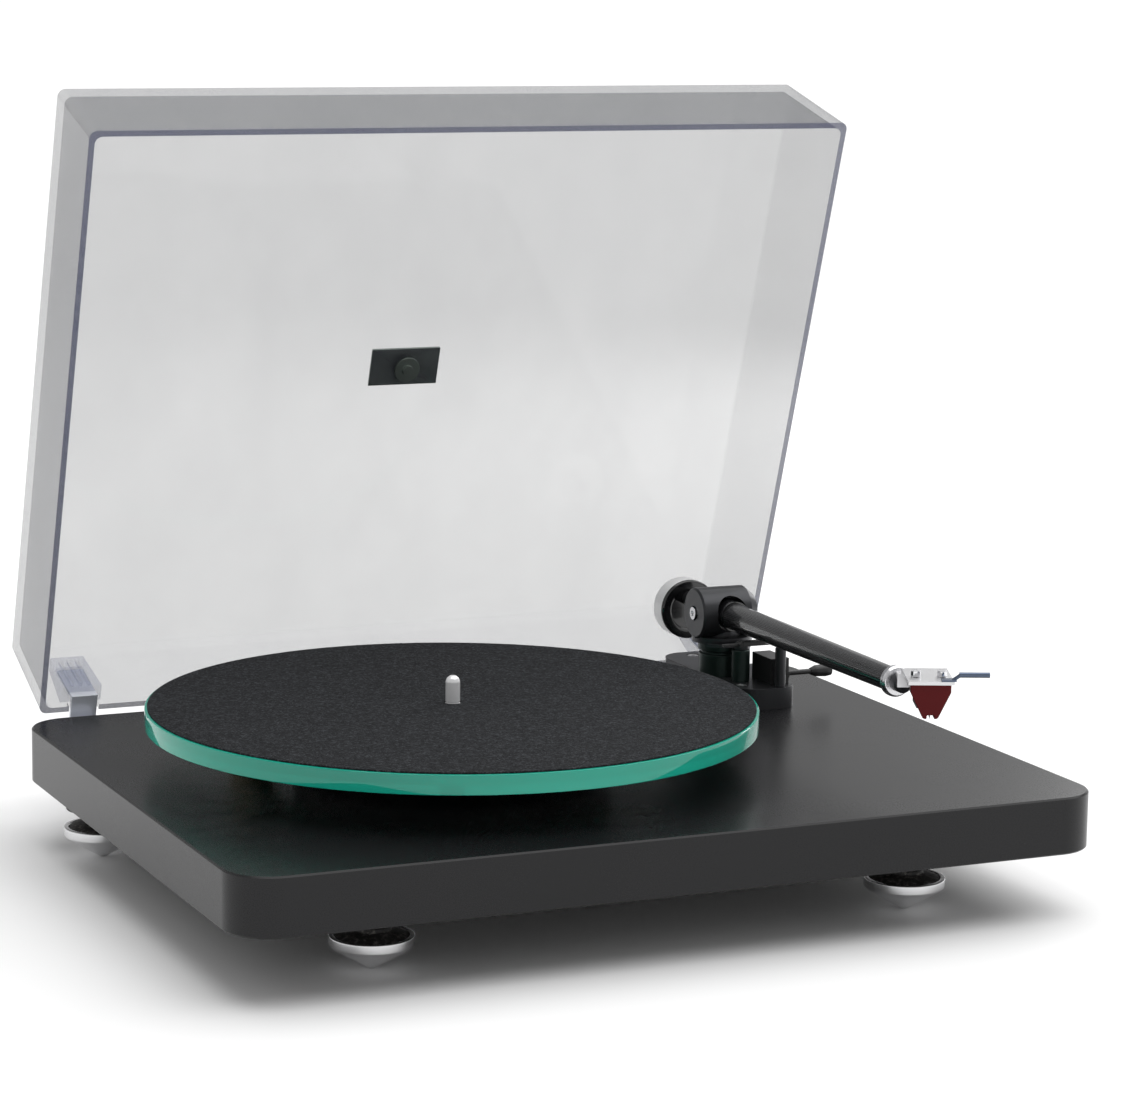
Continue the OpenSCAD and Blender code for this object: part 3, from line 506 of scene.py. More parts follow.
class Maker:
    """Makes finished objects and ties them to the frame."""

    def __init__(self) -> None:
        """Learns which body each CAD node belongs to."""
        self.body_of = {
            node: body for body, nodes in frame["record"]["behaviour"]["bodies"].items() for node in nodes
        }
        self.slot_of = {entry["node"]: entry["material_slot"] for entry in frame["record"]["subparts"]}

    def settle(self, name: str, mesh: bpy.types.Mesh, finish: Finish, nodes: Sequence[str]) -> bpy.types.Object:
        """Finishes a mesh and puts it in place of CAD nodes.

        Args:
            name: the piece's name.
            mesh: its mesh, in place.
            finish: what it is made of.
            nodes: the CAD nodes it stands for; the first gives its body.

        Returns:
            The object.
        """
        piece = linked(f"{name}_look", mesh)
        if not mesh.materials:
            mesh.materials.append(finish.material())
        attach(piece, self.body_of[nodes[0]])
        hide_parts(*nodes)
        LOG.info("%s: %d faces, body %s", piece.name, len(mesh.polygons), self.body_of[nodes[0]])
        return piece

    def smooth(self, mesh: bpy.types.Mesh, angle: float = 32.0) -> bpy.types.Mesh:
        """Shades a mesh smooth but for its sharp edges."""
        mesh.polygons.foreach_set("use_smooth", [True] * len(mesh.polygons))
        mesh.set_sharp_from_angle(angle=math.radians(angle))
        return mesh

    def weighted(self, mesh: bpy.types.Mesh) -> bpy.types.Mesh:
        """Weighs the normals by area, so that flat faces between softened edges stay flat."""
        carrier = linked("carrier", mesh)
        modifier = carrier.modifiers.new("normals", "WEIGHTED_NORMAL")
        modifier.keep_sharp = True
        return evaluated(carrier, modifier, mesh.name)

    def refine(
        self, node: str, finish: Finish, bevel: float,
        angle: float = 34.0, steps: int = 2, edge: Optional[Finish] = None,
    ) -> bpy.types.Object:
        """A CAD node as one merged mesh with worn-in edges.

        Args:
            node: the CAD node.
            finish: what it is made of.
            bevel: width of the softened edges, in millimetres.
            angle: edges sharper than this are softened, in degrees.
            steps: pieces across each softened edge.
            edge: a second finish for the softened edges.

        Returns:
            The object.
        """
        shape = bmesh.new()
        shape.from_mesh(frame["nodes"][node].data)
        bmesh.ops.remove_doubles(shape, verts=shape.verts, dist=2e-6)
        bmesh.ops.dissolve_limit(shape, angle_limit=math.radians(0.4), verts=shape.verts, edges=shape.edges)
        sharp = [
            side
            for side in shape.edges
            if len(side.link_faces) == 2 and side.calc_face_angle(0.0) > math.radians(angle)
        ]
        if bevel > 0 and sharp:
            bmesh.ops.bevel(
                shape,
                geom=sharp,
                offset=bevel * MM,
                offset_type="OFFSET",
                segments=steps,
                profile=0.5,
                affect="EDGES",
                clamp_overlap=True,
                material=1 if edge else -1,
            )
        mesh = bpy.data.meshes.new(f"{node}_look")
        shape.to_mesh(mesh)
        shape.free()
        for layer in filter(None, (finish, edge)):
            mesh.materials.append(layer.material())
        return self.settle(node, self.weighted(self.smooth(mesh)), finish, [node])

    def lathe(
        self, profile: Sequence[Point2], where: Matrix, segments: int = 96, closed: bool = False
    ) -> bpy.types.Mesh:
        """Turns a profile about a frame's Z axis.

        Args:
            profile: radius and height pairs in millimetres, lowest first on the outside.
            where: the frame.
            segments: steps round the axis.
            closed: whether the profile is a ring's closed section.

        Returns:
            The mesh, in place, with outward normals.
        """
        shape = bmesh.new()
        rings = []
        for radius, height in profile:
            if radius < 1e-6:
                rings.append([shape.verts.new(where @ Vector((0, 0, height * MM)))])
                continue
            ring = []
            for step in range(segments):
                turn = 2 * math.pi * step / segments
                spot = Vector((radius * math.cos(turn), radius * math.sin(turn), height)) * MM
                ring.append(shape.verts.new(where @ spot))
            rings.append(ring)
        pairs = list(zip(rings, rings[1:] + ([rings[0]] if closed else [])))
        for low, high in pairs:
            for step in range(segments):
                after = (step + 1) % segments
                quad = [low[step % len(low)], low[after % len(low)]]
                quad += [high[after % len(high)], high[step % len(high)]]
                corners = list(dict.fromkeys(quad))
                if len(corners) > 2:
                    shape.faces.new(corners)
        bmesh.ops.recalc_face_normals(shape, faces=shape.faces)
        mesh = bpy.data.meshes.new("turned")
        shape.to_mesh(mesh)
        shape.free()
        return self.smooth(mesh)


class Spread:
    """Geometry Nodes trees for what repeats."""

    @staticmethod
    def tree(name: str, sizes: Sequence[tuple[str, str, float]]) -> tuple[bpy.types.NodeTree, dict[str, str]]:
        """Starts a tree with named inputs.

        Args:
            name: the tree's name.
            sizes: each input's name, socket type and value.

        Returns:
            The tree and the identifier of each input.
        """
        tree = bpy.data.node_groups.new(name, "GeometryNodeTree")
        tree.interface.new_socket("Geometry", in_out="INPUT", socket_type="NodeSocketGeometry")
        tree.interface.new_socket("Geometry", in_out="OUTPUT", socket_type="NodeSocketGeometry")
        names = {}
        for label, kind, value in sizes:
            socket = tree.interface.new_socket(label, in_out="INPUT", socket_type=kind)
            socket.default_value = value
            names[label] = socket.identifier
        tree.nodes.new("NodeGroupInput")
        tree.nodes.new("NodeGroupOutput")
        return tree, names

    @staticmethod
    def add(
        tree: bpy.types.NodeTree, kind: str, settings: Optional[dict] = None, links: Optional[dict] = None
    ) -> bpy.types.Node:
        """Adds a node with its settings, then its values and links."""
        node = tree.nodes.new(kind)
        for key, value in (settings or {}).items():
            setattr(node, key, value)
        for key, value in (links or {}).items():
            if isinstance(value, bpy.types.NodeSocket):
                tree.links.new(value, node.inputs[key])
            else:
                node.inputs[key].default_value = value
        return node

    @classmethod
    def finish(cls, tree: bpy.types.NodeTree, shape: bpy.types.NodeSocket, material: bpy.types.Material) -> None:
        """Ends a tree in Realize Instances and Set Material."""
        real = cls.add(tree, "GeometryNodeRealizeInstances", {}, {"Geometry": shape})
        dressed = cls.add(tree, "GeometryNodeSetMaterial", {}, {"Geometry": real.outputs[0], "Material": material})
        output = next(node for node in tree.nodes if node.bl_idname == "NodeGroupOutput")
        tree.links.new(dressed.outputs[0], output.inputs[0])

    @staticmethod
    def run(base: bpy.types.Mesh, tree: bpy.types.NodeTree, values: dict[str, float], name: str) -> bpy.types.Mesh:
        """Evaluates a tree on a mesh.

        Args:
            base: the mesh the tree starts from.
            tree: the tree.
            values: input values by identifier.
            name: the new mesh's name.

        Returns:
            A plain mesh.
        """
        carrier = linked("carrier", base)
        modifier = carrier.modifiers.new("spread", "NODES")
        modifier.node_group = tree
        for identifier, value in values.items():
            modifier[identifier] = value
        carrier.update_tag()
        return evaluated(carrier, modifier, name)


def joint_of(name: str) -> dict:
    """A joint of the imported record."""
    return next(joint for joint in frame["record"]["behaviour"]["joints"] if joint["name"] == name)


# --------------------------------------------------------------------------- finishes of this deck

BLACK_PAINT = Paint("satin_black_paint", (0.009, 0.009, 0.01), 0.27, gloss=0.3)
POWDER = Paint("black_powder_coat", (0.02, 0.02, 0.02), 0.5, peel=0.00003, peel_scale=1600.0)
ANODISED = Metal("black_anodised", (0.045, 0.046, 0.05), 0.3, metallic=0.6, mark=0.0000015)
GLOSS_BLACK = Paint("gloss_black", (0.008, 0.008, 0.009), 0.12, peel=0.000002, coat=0.6)
RUBBER = Plastic("black_rubber", (0.02, 0.02, 0.02), 0.7, grain=1400.0, depth=0.00002)
MOULDED = Plastic("moulded_black", (0.02, 0.02, 0.021), 0.42)
CARTRIDGE_BLACK = Plastic("cartridge_black", (0.02, 0.012, 0.012), 0.25, coat=0.3)
DEEP_RED = Plastic("deep_red_plastic", (0.1, 0.004, 0.005), 0.4, depth=0.000002, gloss=0.15)
ROCKER_RED = Plastic("rocker_red", (0.2, 0.01, 0.01), 0.35)
SATIN_ALUMINIUM = Metal("satin_aluminium", (0.74, 0.74, 0.75), 0.32)
BRIGHT = Metal("bright_chrome", (0.82, 0.82, 0.84), 0.1, mark=0.0000005)
POLISHED_PIN = Metal("polished_pin", (0.9, 0.9, 0.91), 0.2, metallic=0.3, mark=0.0000005)
STEEL = Metal("plain_steel", (0.6, 0.6, 0.61), 0.35)
PLATED_LEAF = Metal("plated_leaf", (0.7, 0.72, 0.78), 0.3, metallic=0.4)
BLUE_STEEL = Metal("blue_grey_steel", (0.12, 0.15, 0.21), 0.3)
GREEN_BLACK = Metal("green_black_anodised", (0.022, 0.036, 0.032), 0.34, metallic=0.6, mark=0.0000015)
GOLD = Metal("gold_plate", (0.83, 0.61, 0.25), 0.22)
BRASS = Metal("turned_brass", (0.72, 0.52, 0.23), 0.3)
BADGE = Metal("dark_badge_plate", (0.2, 0.23, 0.21), 0.32, lay=Lay.STRAIGHT)
BOARD = Plastic("green_laminate", (0.02, 0.14, 0.06), 0.4, grain=400.0)
PAD = Mottle("mottled_pad", (0.022, 0.021, 0.02), 0.6)
FELT = Felt("charcoal_felt", (0.017, 0.018, 0.02), 0.97)
GLASS = Clear("green_glass", (0.015, 0.66, 0.47), 0.0, role=Role.GLASS, ior=1.52, haze=0.004, through=0.5)
ACRYLIC = Clear("smoky_acrylic", (0.1, 0.105, 0.12), 0.02, body=0.26, rim=0.6)
ACRYLIC_EDGE = Clear("acrylic_edge", (0.03, 0.04, 0.12), 0.3, body=0.75, rim=0.2)
SOCKET_CLEAR = Clear("socket_acrylic", (0.3, 0.34, 0.5), 0.05, haze=0.02, body=0.16, rim=0.6)
PAPER = Ground("studio_floor", (0.93, 0.93, 0.93), 0.9)


# --------------------------------------------------------------------------- sub-assemblies


@dataclass
class Plinth:
    """The slab and everything let into it."""

    edge: float = 0.35
    screw_head_r: float = 2.8
    screw_head_h: float = 1.5
    screw_slot: Sequence[float] = (2.9, 0.55, 0.1)
    screw_turn: float = 3.1
    rib_count: int = 30
    rib_r: float = 0.00035
    rib_length: float = 0.0042
    rib_middle: float = 0.0068
    trims: Sequence[tuple[str, Finish, float]] = (
        ("bottom_cover", POWDER, 0.2),
        ("power_socket", MOULDED, 0.25),
        ("signal_sockets", GOLD, 0.15),
        ("switch_housing", MOULDED, 0.2),
        ("switch_rocker", ROCKER_RED, 0.3),
        ("control_board", BOARD, 0.1),
        ("foot_inserts", BRASS, 0.15),
        ("foot_spacers", RUBBER, 0.5),
    )

    def build(self, maker: Maker) -> None:
        """Builds the slab and its fittings."""
        maker.refine("plinth", BLACK_PAINT, self.edge, steps=3)
        for node, finish, bevel in self.trims:
            maker.refine(node, finish, bevel)
        self.cover_screws(maker)
        self.ground_post(maker)

    def screw_head(self) -> bpy.types.Mesh:
        """One pan-head screw with a cross recess, head down."""
        shape = bmesh.new()
        bmesh.ops.create_cone(
            shape, cap_ends=True, segments=32, radius1=self.screw_head_r * MM * 0.8,
            radius2=self.screw_head_r * MM, depth=self.screw_head_h * MM * 0.9,
        )
        for turn in (0.0, math.pi / 2):
            bmesh.ops.create_cube(
                shape, size=1.0,
                matrix=Matrix.Rotation(turn, 4, "Z") @ Matrix.Translation((0, 0, -self.screw_head_h * MM * 0.44))
                @ Matrix.Diagonal((*(size * MM for size in self.screw_slot), 1)),
            )
        mesh = bpy.data.meshes.new("screw_head")
        shape.to_mesh(mesh)
        shape.free()
        return mesh

    def cover_screws(self, maker: Maker) -> None:
        """Instances a screw head at each corner of the bottom cover."""
        low, high = corners_of("cover_screws")
        radius = self.screw_head_r * MM
        height = low.z + self.screw_head_h * MM * 0.5
        corners = [
            (x, y, height) for x in (low.x + radius, high.x - radius) for y in (low.y + radius, high.y - radius)
        ]
        points = bpy.data.meshes.new("screw_points")
        points.from_pydata(corners, [], [])
        head = bpy.data.objects.new("screw_template", self.screw_head())
        sizes = [("Scale", "NodeSocketFloat", 1.0), ("Turn", "NodeSocketFloat", 0.0)]
        tree, names = Spread.tree("screw_heads", sizes)
        source = next(node for node in tree.nodes if node.bl_idname == "NodeGroupInput")
        shape = Spread.add(tree, "GeometryNodeObjectInfo", {"transform_space": "ORIGINAL"}, {"Object": head})
        turn = Spread.add(tree, "FunctionNodeRandomValue", {"data_type": "FLOAT"}, {"Seed": 7})
        tree.links.new(source.outputs["Turn"], turn.inputs[3])
        spin = Spread.add(tree, "ShaderNodeCombineXYZ", {}, {2: turn.outputs[1]})
        placed = Spread.add(
            tree, "GeometryNodeInstanceOnPoints", {},
            {"Points": source.outputs[0], "Instance": shape.outputs["Geometry"], "Rotation": spin.outputs[0]},
        )
        tree.links.new(source.outputs["Scale"], placed.inputs["Scale"])
        Spread.finish(tree, placed.outputs[0], STEEL.material())
        mesh = Spread.run(points, tree, {names["Scale"]: 1.0, names["Turn"]: self.screw_turn}, "cover_screws_look")
        maker.settle("cover_screws", maker.smooth(mesh), STEEL, ["cover_screws"])
        bpy.data.objects.remove(head)

    def ground_post(self, maker: Maker) -> None:
        """A knurled thumb nut, its ribs spread round the rim."""
        low, high = corners_of("ground_post")
        middle = (low + high) / 2
        rib = bpy.data.meshes.new("rib")
        radius = (high.z - low.z) / 2
        rib.from_pydata([(0, 0, 0)], [], [])
        tree, names = Spread.tree(
            "knurl",
            [
                ("Count", "NodeSocketInt", self.rib_count), ("Radius", "NodeSocketFloat", radius),
                ("Length", "NodeSocketFloat", self.rib_length),
            ],
        )
        source = next(node for node in tree.nodes if node.bl_idname == "NodeGroupInput")
        circle = Spread.add(tree, "GeometryNodeMeshCircle", {"fill_type": "NONE"})
        tree.links.new(source.outputs["Count"], circle.inputs["Vertices"])
        tree.links.new(source.outputs["Radius"], circle.inputs["Radius"])
        bar = Spread.add(tree, "GeometryNodeMeshCylinder", {}, {"Vertices": 6, "Radius": self.rib_r})
        tree.links.new(source.outputs["Length"], bar.inputs["Depth"])
        spread = Spread.add(
            tree, "GeometryNodeInstanceOnPoints", {},
            {"Points": circle.outputs[0], "Instance": bar.outputs["Mesh"]},
        )
        Spread.finish(tree, spread.outputs[0], BRIGHT.material())
        values = {
            names["Count"]: self.rib_count, names["Radius"]: radius - self.rib_r, names["Length"]: self.rib_length,
        }
        ribs = Spread.run(rib, tree, values, "ribs")
        where = turn_to(Vector((middle.x, low.y, middle.z)), Vector((0, 1, 0)))
        ribs.transform(where @ Matrix.Translation((0, 0, self.rib_middle)))
        size = radius / MM - 0.4
        profile = [(0, 0), (2, 0), (2, 4.2), (size, 4.4), (size, 9), (size - 1.2, 9), (0, 8.6)]
        nut = maker.lathe(rounded(profile, 0.3), where, 48)
        maker.settle("ground_post", maker.smooth(joined(nut, ribs)), BRIGHT, ["ground_post"])


@dataclass
class Feet:
    """Four levelling feet: dished aluminium ring, blunt cone, stud and pad."""

    ring_t: float = 4.6
    dish: float = 1.6
    stud_r: float = 4.0
    tip_r: float = 1.5
    names: Sequence[str] = ("front_left", "front_right", "rear_left", "rear_right")

    def build(self, maker: Maker) -> None:
        """Turns each foot and its pad."""
        for name in self.names:
            low, high = corners_of(f"{name}_foot")
            middle = (low + high) / 2
            radius = (high.x - low.x) / 2 / MM
            pad_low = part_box(f"{name}_pad")[0][2] / MM
            top = pad_low + self.dish
            where = turn_to(Vector((middle.x, middle.y, 0)), Vector((0, 0, 1)))
            profile = [
                (0, 0), (self.tip_r, 0), (radius - 1.3, top - self.ring_t - 1.3), (radius, top - self.ring_t),
                (radius, top - 0.3), (radius - 0.4, top), (radius - 2.3, top), (radius - 2.6, top - self.dish),
                (self.stud_r, top - self.dish), (self.stud_r, high.z / MM), (0, high.z / MM),
            ]
            metal = Metal(
                f"turned_foot_{name}", (0.78, 0.78, 0.79), 0.24, Lay.TURNED, (middle.x, middle.y, 0.0), mark=0.000004
            )
            maker.settle(f"{name}_foot", maker.lathe(rounded(profile, 0.5), where, 128), metal, [f"{name}_foot"])
            inner = radius - 2.7
            base = pad_low + 0.02
            pad = [
                (self.stud_r, base), (inner, base), (inner, base + 1.4), (inner - 2.4, base + 2.5), (9, base + 4.0),
                (8.6, base + 5.9), (self.stud_r, base + 6.0),
            ]
            mesh = maker.lathe(rounded(pad, 0.7, closed=True), where, 96, closed=True)
            maker.settle(f"{name}_pad", mesh, PAD, [f"{name}_pad"])


@dataclass
class Platter:
    """Glass disc, felt mat, spindle, sub-platter and drive."""

    bore: float = 4.03
    seat_r: float = 4.0
    spindle_r: float = 3.575
    mat_edge: float = 0.35
    fibre_count: int = 9000
    fibre_length: float = 0.0011
    fibre_width: float = 0.00004
    fibre_tip: float = 0.00001
    fibre_lean: float = 1.45
    fibre_seed: int = 3
    glass_edge: float = 0.55
    trims: Sequence[tuple[str, Finish, float]] = (
        ("bearing_housing", STEEL, 0.3),
        ("bearing_bush", BRASS, 0.1),
        ("thrust_ball", BRIGHT, 0.0),
        ("sub_platter", MOULDED, 0.3),
        ("drive_belt", RUBBER, 0.1),
        ("motor_body", STEEL, 0.4),
        ("motor_damper", RUBBER, 0.4),
        ("motor_shaft", STEEL, 0.1),
        ("motor_pulley", BRASS, 0.15),
    )

    def build(self, maker: Maker) -> None:
        """Builds the rotating stack and its drive."""
        for node, finish, bevel in self.trims:
            maker.refine(node, finish, bevel)
        low, high = corners_of("glass_platter")
        middle = (low + high) / 2
        where = Matrix.Translation((middle.x, middle.y, 0))
        radius = (high.x - low.x) / 2 / MM
        self.glass(maker, where, radius, low.z / MM, high.z / MM)
        self.mat(maker, where)
        self.spindle(maker, where)

    def glass(self, maker: Maker, where: Matrix, radius: float, low: float, high: float) -> None:
        """The disc, its polished edge slightly arrissed."""
        ring = [(self.bore, low), (radius, low), (radius, high), (self.bore, high)]
        mesh = maker.lathe(rounded(ring, self.glass_edge, 3, closed=True), where, 256, closed=True)
        maker.settle("glass_platter", mesh, GLASS, ["glass_platter"])

    def mat(self, maker: Maker, where: Matrix) -> None:
        """The felt, with loose fibres standing off its surface."""
        low, high = corners_of("felt_mat")
        radius = (high.x - low.x) / 2 / MM
        bottom, top = low.z / MM, high.z / MM
        section = rounded(
            [(self.bore, bottom), (radius, bottom), (radius, top), (self.bore, top)], self.mat_edge, 4, closed=True
        )
        mesh = maker.lathe(section, where, 256, closed=True)
        piece = maker.settle("felt_mat", joined(mesh, self.fibres(mesh)), FELT, ["felt_mat"])

    def fibres(self, mesh: bpy.types.Mesh) -> bpy.types.Mesh:
        """Short fibres scattered over the mat by a node tree."""
        sizes = [
            ("Density", "NodeSocketFloat", 1.0), ("Length", "NodeSocketFloat", self.fibre_length),
            ("Width", "NodeSocketFloat", self.fibre_width), ("Seed", "NodeSocketInt", self.fibre_seed),
        ]
        tree, names = Spread.tree("felt_fibres", sizes)
        source = next(node for node in tree.nodes if node.bl_idname == "NodeGroupInput")
        scatter = Spread.add(
            tree, "GeometryNodeDistributePointsOnFaces", {"distribute_method": "RANDOM"},
            {"Mesh": source.outputs[0], "Density": source.outputs["Density"], "Seed": source.outputs["Seed"]},
        )
        strand = Spread.add(
            tree, "GeometryNodeMeshCone", {},
            {
                "Vertices": 3, "Radius Top": self.fibre_tip,
                "Radius Bottom": source.outputs["Width"], "Depth": source.outputs["Length"],
            },
        )
        lean = Spread.add(
            tree, "FunctionNodeRandomValue", {"data_type": "FLOAT_VECTOR"},
            {0: (-self.fibre_lean, -self.fibre_lean, 0.0), 1: (self.fibre_lean, self.fibre_lean, 6.28), "Seed": 11},
        )
        placed = Spread.add(
            tree, "GeometryNodeInstanceOnPoints", {},
            {"Points": scatter.outputs[0], "Instance": strand.outputs["Mesh"], "Rotation": lean.outputs[0]},
        )
        Spread.finish(tree, placed.outputs[0], FELT.material())
        area = sum(polygon.area for polygon in mesh.polygons)
        values = {
            names["Density"]: self.fibre_count / area, names["Length"]: self.fibre_length,
            names["Width"]: self.fibre_width, names["Seed"]: self.fibre_seed,
        }
        return Spread.run(mesh.copy(), tree, values, "felt_fuzz")

    def spindle(self, maker: Maker, where: Matrix) -> None:
        """The polished pin with its coned tip, and the shaft below."""
        low, high = corners_of("spindle")
        shaft = (high.x - low.x) / 2 / MM
        glass_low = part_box("glass_platter")[0][2] / MM
        mat_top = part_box("felt_mat")[1][2] / MM
        tip = high.z / MM
        free = self.spindle_r
        groove = free - 0.2
        profile = [
            (0, low.z / MM), (shaft, low.z / MM), (shaft, glass_low - 3),
            (self.seat_r, glass_low - 3), (self.seat_r, mat_top - 0.4),
            (groove, mat_top - 0.4), (groove, mat_top + 0.5), (free, mat_top + 0.5), (free, tip - 3),
            (free * 0.82, tip - 1.4), (free * 0.42, tip - 0.25), (0, tip),
        ]
        mesh = maker.lathe(rounded(profile, 0.4), where, 64)
        maker.settle("spindle", mesh, POLISHED_PIN, ["spindle"])


@dataclass
class Tonearm:
    """Base, pillar, gimbal, tube, counterweight and head."""

    tube_r_pivot: float = 7.2
    tube_r_head: float = 6.0
    tube_wall: float = 1.2
    spigot_length: float = 8.0
    collar_r: float = 7.8
    neck_r: float = 4.6
    weight_drop: float = 6.0
    weight_edge: float = 4.0
    pivot: Vector = field(default_factory=Vector)
    back: Vector = field(default_factory=Vector)
    trims: Sequence[tuple[str, Finish, float]] = (
        ("arm_base", ANODISED, 0.7),
        ("arm_base_screws", STEEL, 0.15),
        ("arm_pillar", GREEN_BLACK, 0.25),
        ("arm_yoke", ANODISED, 0.5),
        ("yoke_bearing_screws", BRIGHT, 0.2),
        ("arm_hub", GLOSS_BLACK, 0.5),
        ("weight_stub", MOULDED, 0.3),
        ("headshell", SATIN_ALUMINIUM, 0.25),
        ("finger_lift", BLUE_STEEL, 0.2),
        ("cartridge_screws", BRIGHT, 0.25),
        ("cartridge_body", CARTRIDGE_BLACK, 0.3),
        ("stylus_unit", DEEP_RED, 0.5),
        ("cantilever", SATIN_ALUMINIUM, 0.0),
        ("lift_cylinder", GREEN_BLACK, 0.4),
        ("lift_rail", ANODISED, 0.3),
        ("lift_housing", MOULDED, 0.4),
        ("lift_lever", MOULDED, 0.3),
        ("rest_post", ANODISED, 0.3),
        ("rest_cradle", MOULDED, 0.3),
        ("rest_clip", MOULDED, 0.25),
    )

    def build(self, maker: Maker) -> None:
        """Builds the arm from its base to the stylus."""
        self.pivot = Vector(joint_of("arm_swing")["pos_m"])
        self.back = Vector(joint_of("weight_slide")["axis"])
        for node, finish, bevel in self.trims:
            maker.refine(node, finish, bevel)
        self.tube(maker)
        self.collar(maker)
        self.weight(maker)

    def reach(self, node: str) -> tuple[float, float]:
        """The nearest and furthest a node lies from the pivot along the arm, towards the head, in mm."""
        along = -self.back
        spots = [(vertex.co - self.pivot).dot(along) / MM for vertex in frame["nodes"][node].data.vertices]
        return min(spots), max(spots)

    def tube(self, maker: Maker) -> None:
        """The tapered tube."""
        start, end = self.reach("arm_tube")
        where = turn_to(self.pivot, -self.back)
        profile = [(0, start), (self.tube_r_pivot, start), (self.tube_r_head, end), (0, end)]
        finish = Carbon("lacquered_carbon", (0.011, 0.011, 0.012), 0.3, tuple(self.pivot), tuple(-self.back))
        maker.settle("arm_tube", maker.lathe(rounded(profile, 0.3), where, 96), finish, ["arm_tube"])

    def collar(self, maker: Maker) -> None:
        """The silver collar and its black neck."""
        start, end = self.reach("head_collar")
        where = turn_to(self.pivot, -self.back)
        seat = start + self.spigot_length
        spigot = self.tube_r_head - self.tube_wall
        ring = [
            (0, start), (spigot, start), (spigot, seat), (self.collar_r, seat), (self.collar_r, seat + 2.5),
            (self.collar_r - 0.8, seat + 4.2), (0, seat + 4.6),
        ]
        metal = Metal("turned_collar", (0.76, 0.76, 0.78), 0.24, Lay.TURNED, tuple(self.pivot), tuple(-self.back))
        maker.settle("head_collar", maker.lathe(rounded(ring, 0.4), where, 64), metal, ["head_collar"])
        neck_r = self.neck_r
        neck = [(0, seat + 4.4), (neck_r, seat + 4.4), (neck_r, end - 1), (neck_r - 1, end), (0, end)]
        mesh = maker.lathe(rounded(neck, 0.3), where, 64)
        stalk = linked("neck_look", mesh)
        mesh.materials.append(ANODISED.material())
        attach(stalk, maker.body_of["head_collar"])

    def weight(self, maker: Maker) -> None:
        """The counterweight's steel sleeve and its gloss dial."""
        front, rear = (-value for value in reversed(self.reach("counterweight")))
        dial_front = -self.reach("weight_dial")[1]
        size = max(
            (vertex.co - self.pivot).cross(self.back).length for vertex in frame["nodes"]["weight_dial"].data.vertices
        ) / MM - self.weight_drop
        down = (Vector((0, 0, -1)) - self.back * Vector((0, 0, -1)).dot(self.back)).normalized()
        centre = self.pivot + down * self.weight_drop * MM
        where = turn_to(centre, self.back)
        edge = self.weight_edge
        sleeve = [(0, front), (size, front), (size, rear - edge), (size - edge, rear), (0, rear)]
        metal = Metal(
            "turned_weight", (0.92, 0.92, 0.93), 0.3, Lay.TURNED, tuple(centre), tuple(self.back),
            metallic=0.3, mark=0.000003,
        )
        maker.settle("counterweight", maker.lathe(rounded(sleeve, 0.4), where, 128), metal, ["counterweight"])
        face = [
            (0, dial_front + 1), (size - 5.5, dial_front + 1), (size - 5, dial_front), (size - 0.8, dial_front),
            (size, dial_front + 0.8), (size, front - 0.05), (0, front - 0.05),
        ]
        maker.settle("weight_dial", maker.lathe(rounded(face, 0.35), where, 128), GLOSS_BLACK, ["weight_dial"])


@dataclass
class Lid:
    """The clear cover with its hinges and plate."""

    bend: float = 1.0
    trims: Sequence[tuple[str, Finish, float]] = (
        ("lid_sockets", SOCKET_CLEAR, 0.3),
        ("lid_badge", BADGE, 0.2),
        ("hinge_brackets", POWDER, 0.2),
        ("hinge_leaves", PLATED_LEAF, 0.2),
    )

    def build(self, maker: Maker) -> None:
        """Builds the cover and its fittings."""
        shell = maker.refine("lid_shell", ACRYLIC, self.bend, angle=50.0, steps=4, edge=ACRYLIC_EDGE)
        turn = math.radians(-joint_of("lid_hinge")["range_deg"][0])
        rim = Vector((0, -math.sin(turn), -math.cos(turn)))
        lowest = max(vertex.co.dot(rim) for vertex in shell.data.vertices)
        for face in shell.data.polygons:
            if face.normal.dot(rim) > 0.99 and face.center.dot(rim) > lowest - MM:
                face.material_index = 1
        for node, finish, bevel in self.trims:
            maker.refine(node, finish, bevel)


# --------------------------------------------------------------------------- studio


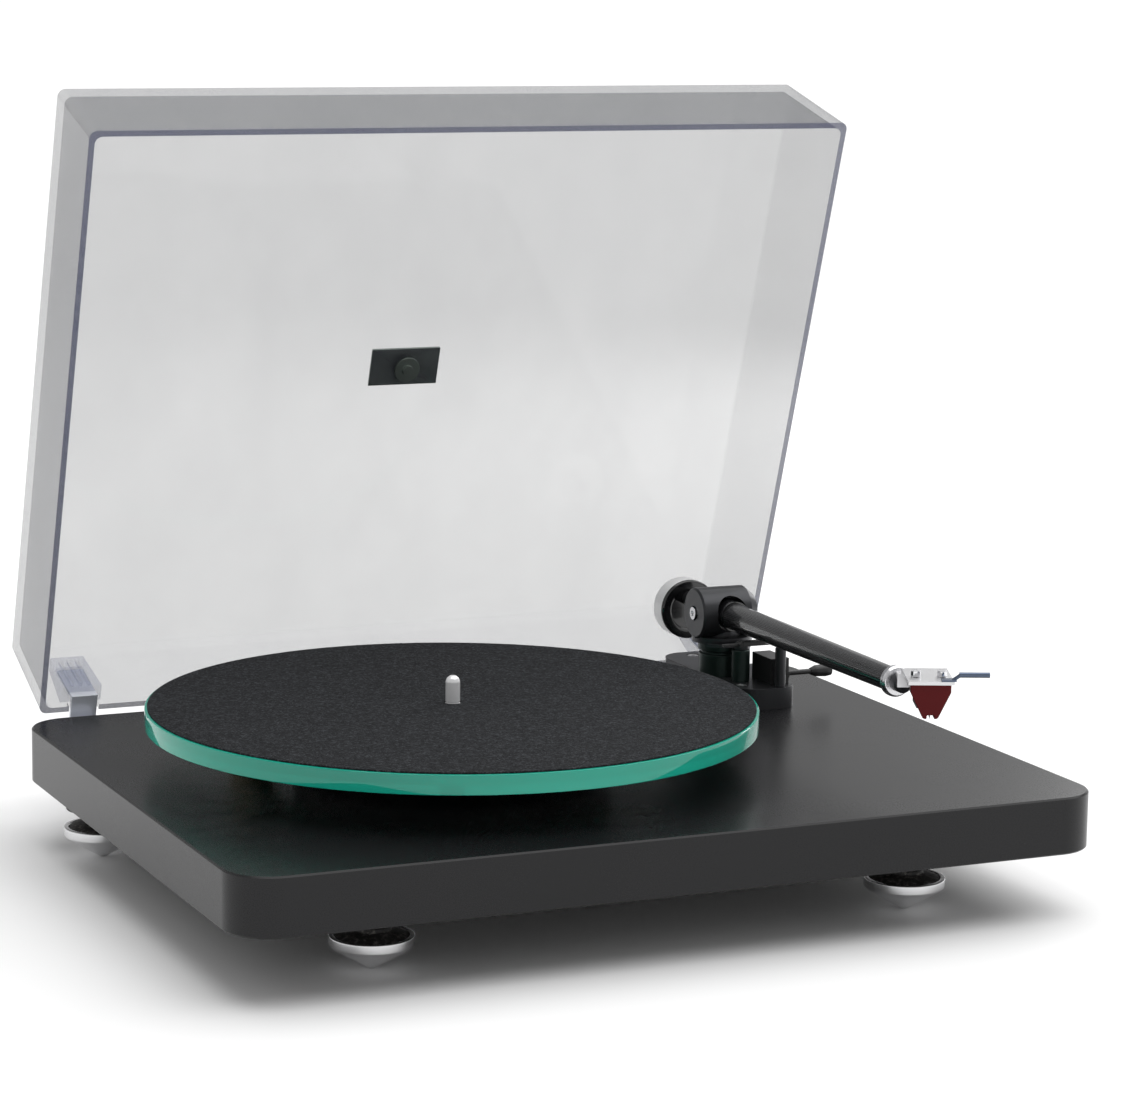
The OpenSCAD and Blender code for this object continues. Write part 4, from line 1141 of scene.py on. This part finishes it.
@dataclass
class Studio:
    """Floor, light and camera."""

    eye: tuple[float, float, float] = (-0.7109, -1.6238, 0.4660)
    right: tuple[float, float, float] = (0.91203292, -0.40989474, 0.01350033)
    up: tuple[float, float, float] = (0.05875031, 0.16315896, 0.984849)
    forward: tuple[float, float, float] = (0.40588713, 0.89742156, -0.17288778)
    lens: float = 115.4
    floor_size: float = 80.0
    world: float = 0.5
    sun: float = 2.3
    sun_angle: float = 80.0
    sun_aim: tuple[float, float, float] = (-0.3, -0.05, -1.0)

    def build(self) -> None:
        """Sets the stage."""
        self.floor()
        self.camera()
        self.sky()
        self.overhead()
        self.softbox("left_box", (-1.7, 0.9, 1.2), (0.0, 0.0, 0.1), (0.9, 1.0), 0.8)
        self.softbox("right_box", (1.6, 1.2, 0.9), (0.1, 0.0, 0.1), (0.8, 1.0), 10.0)

    def floor(self) -> None:
        """A wide pale floor."""
        mesh = bpy.data.meshes.new("floor")
        half = self.floor_size / 2
        corners = [(-half, -half, 0), (half, -half, 0), (half, half, 0), (-half, half, 0)]
        mesh.from_pydata(corners, [], [(0, 1, 2, 3)])
        mesh.materials.append(PAPER.material())
        linked("floor", mesh)

    def camera(self) -> None:
        """The camera at its measured place."""
        data = bpy.data.cameras.new("camera")
        data.lens = self.lens
        data.sensor_width = 36.0
        data.clip_end = 200.0
        camera = bpy.data.objects.new("camera", data)
        axes = Matrix((self.right, self.up, tuple(-value for value in self.forward))).transposed().to_4x4()
        camera.matrix_world = Matrix.Translation(self.eye) @ axes
        bpy.context.scene.collection.objects.link(camera)
        bpy.context.scene.camera = camera

    def sky(self) -> None:
        """An even white surround."""
        world = bpy.data.worlds.new("studio")
        world.use_nodes = True
        ground = next(node for node in world.node_tree.nodes if node.type == "BACKGROUND")
        ground.inputs[0].default_value = (1.0, 1.0, 1.0, 1.0)
        ground.inputs[1].default_value = self.world
        bpy.context.scene.world = world
        bpy.context.scene.view_settings.view_transform = "Standard"

    def overhead(self) -> None:
        """A broad soft light from above that reaches the whole floor."""
        data = bpy.data.lights.new("overhead", "SUN")
        data.energy = self.sun
        data.angle = math.radians(self.sun_angle)
        light = bpy.data.objects.new("overhead", data)
        aim = Vector(self.sun_aim).to_track_quat("-Z", "Y")
        light.matrix_world = aim.to_matrix().to_4x4()
        bpy.context.scene.collection.objects.link(light)

    def softbox(self, name: str, at: Sequence[float], to: Sequence[float], size: Point2, power: float) -> None:
        """One rectangular soft light aimed at a point."""
        data = bpy.data.lights.new(name, "AREA")
        data.shape = "RECTANGLE"
        data.size, data.size_y = size
        data.energy = power
        light = bpy.data.objects.new(name, data)
        aim = (Vector(to) - Vector(at)).to_track_quat("-Z", "Y")
        light.matrix_world = Matrix.Translation(at) @ aim.to_matrix().to_4x4()
        bpy.context.scene.collection.objects.link(light)


def main() -> None:
    """Builds every sub-assembly in order."""
    logging.basicConfig(level=logging.INFO, format="%(name)s: %(message)s")
    maker = Maker()
    for assembly in (Plinth(), Feet(), Platter(), Tonearm(), Lid()):
        assembly.build(maker)
    Studio().build()


if __name__ == "__main__":
    main()
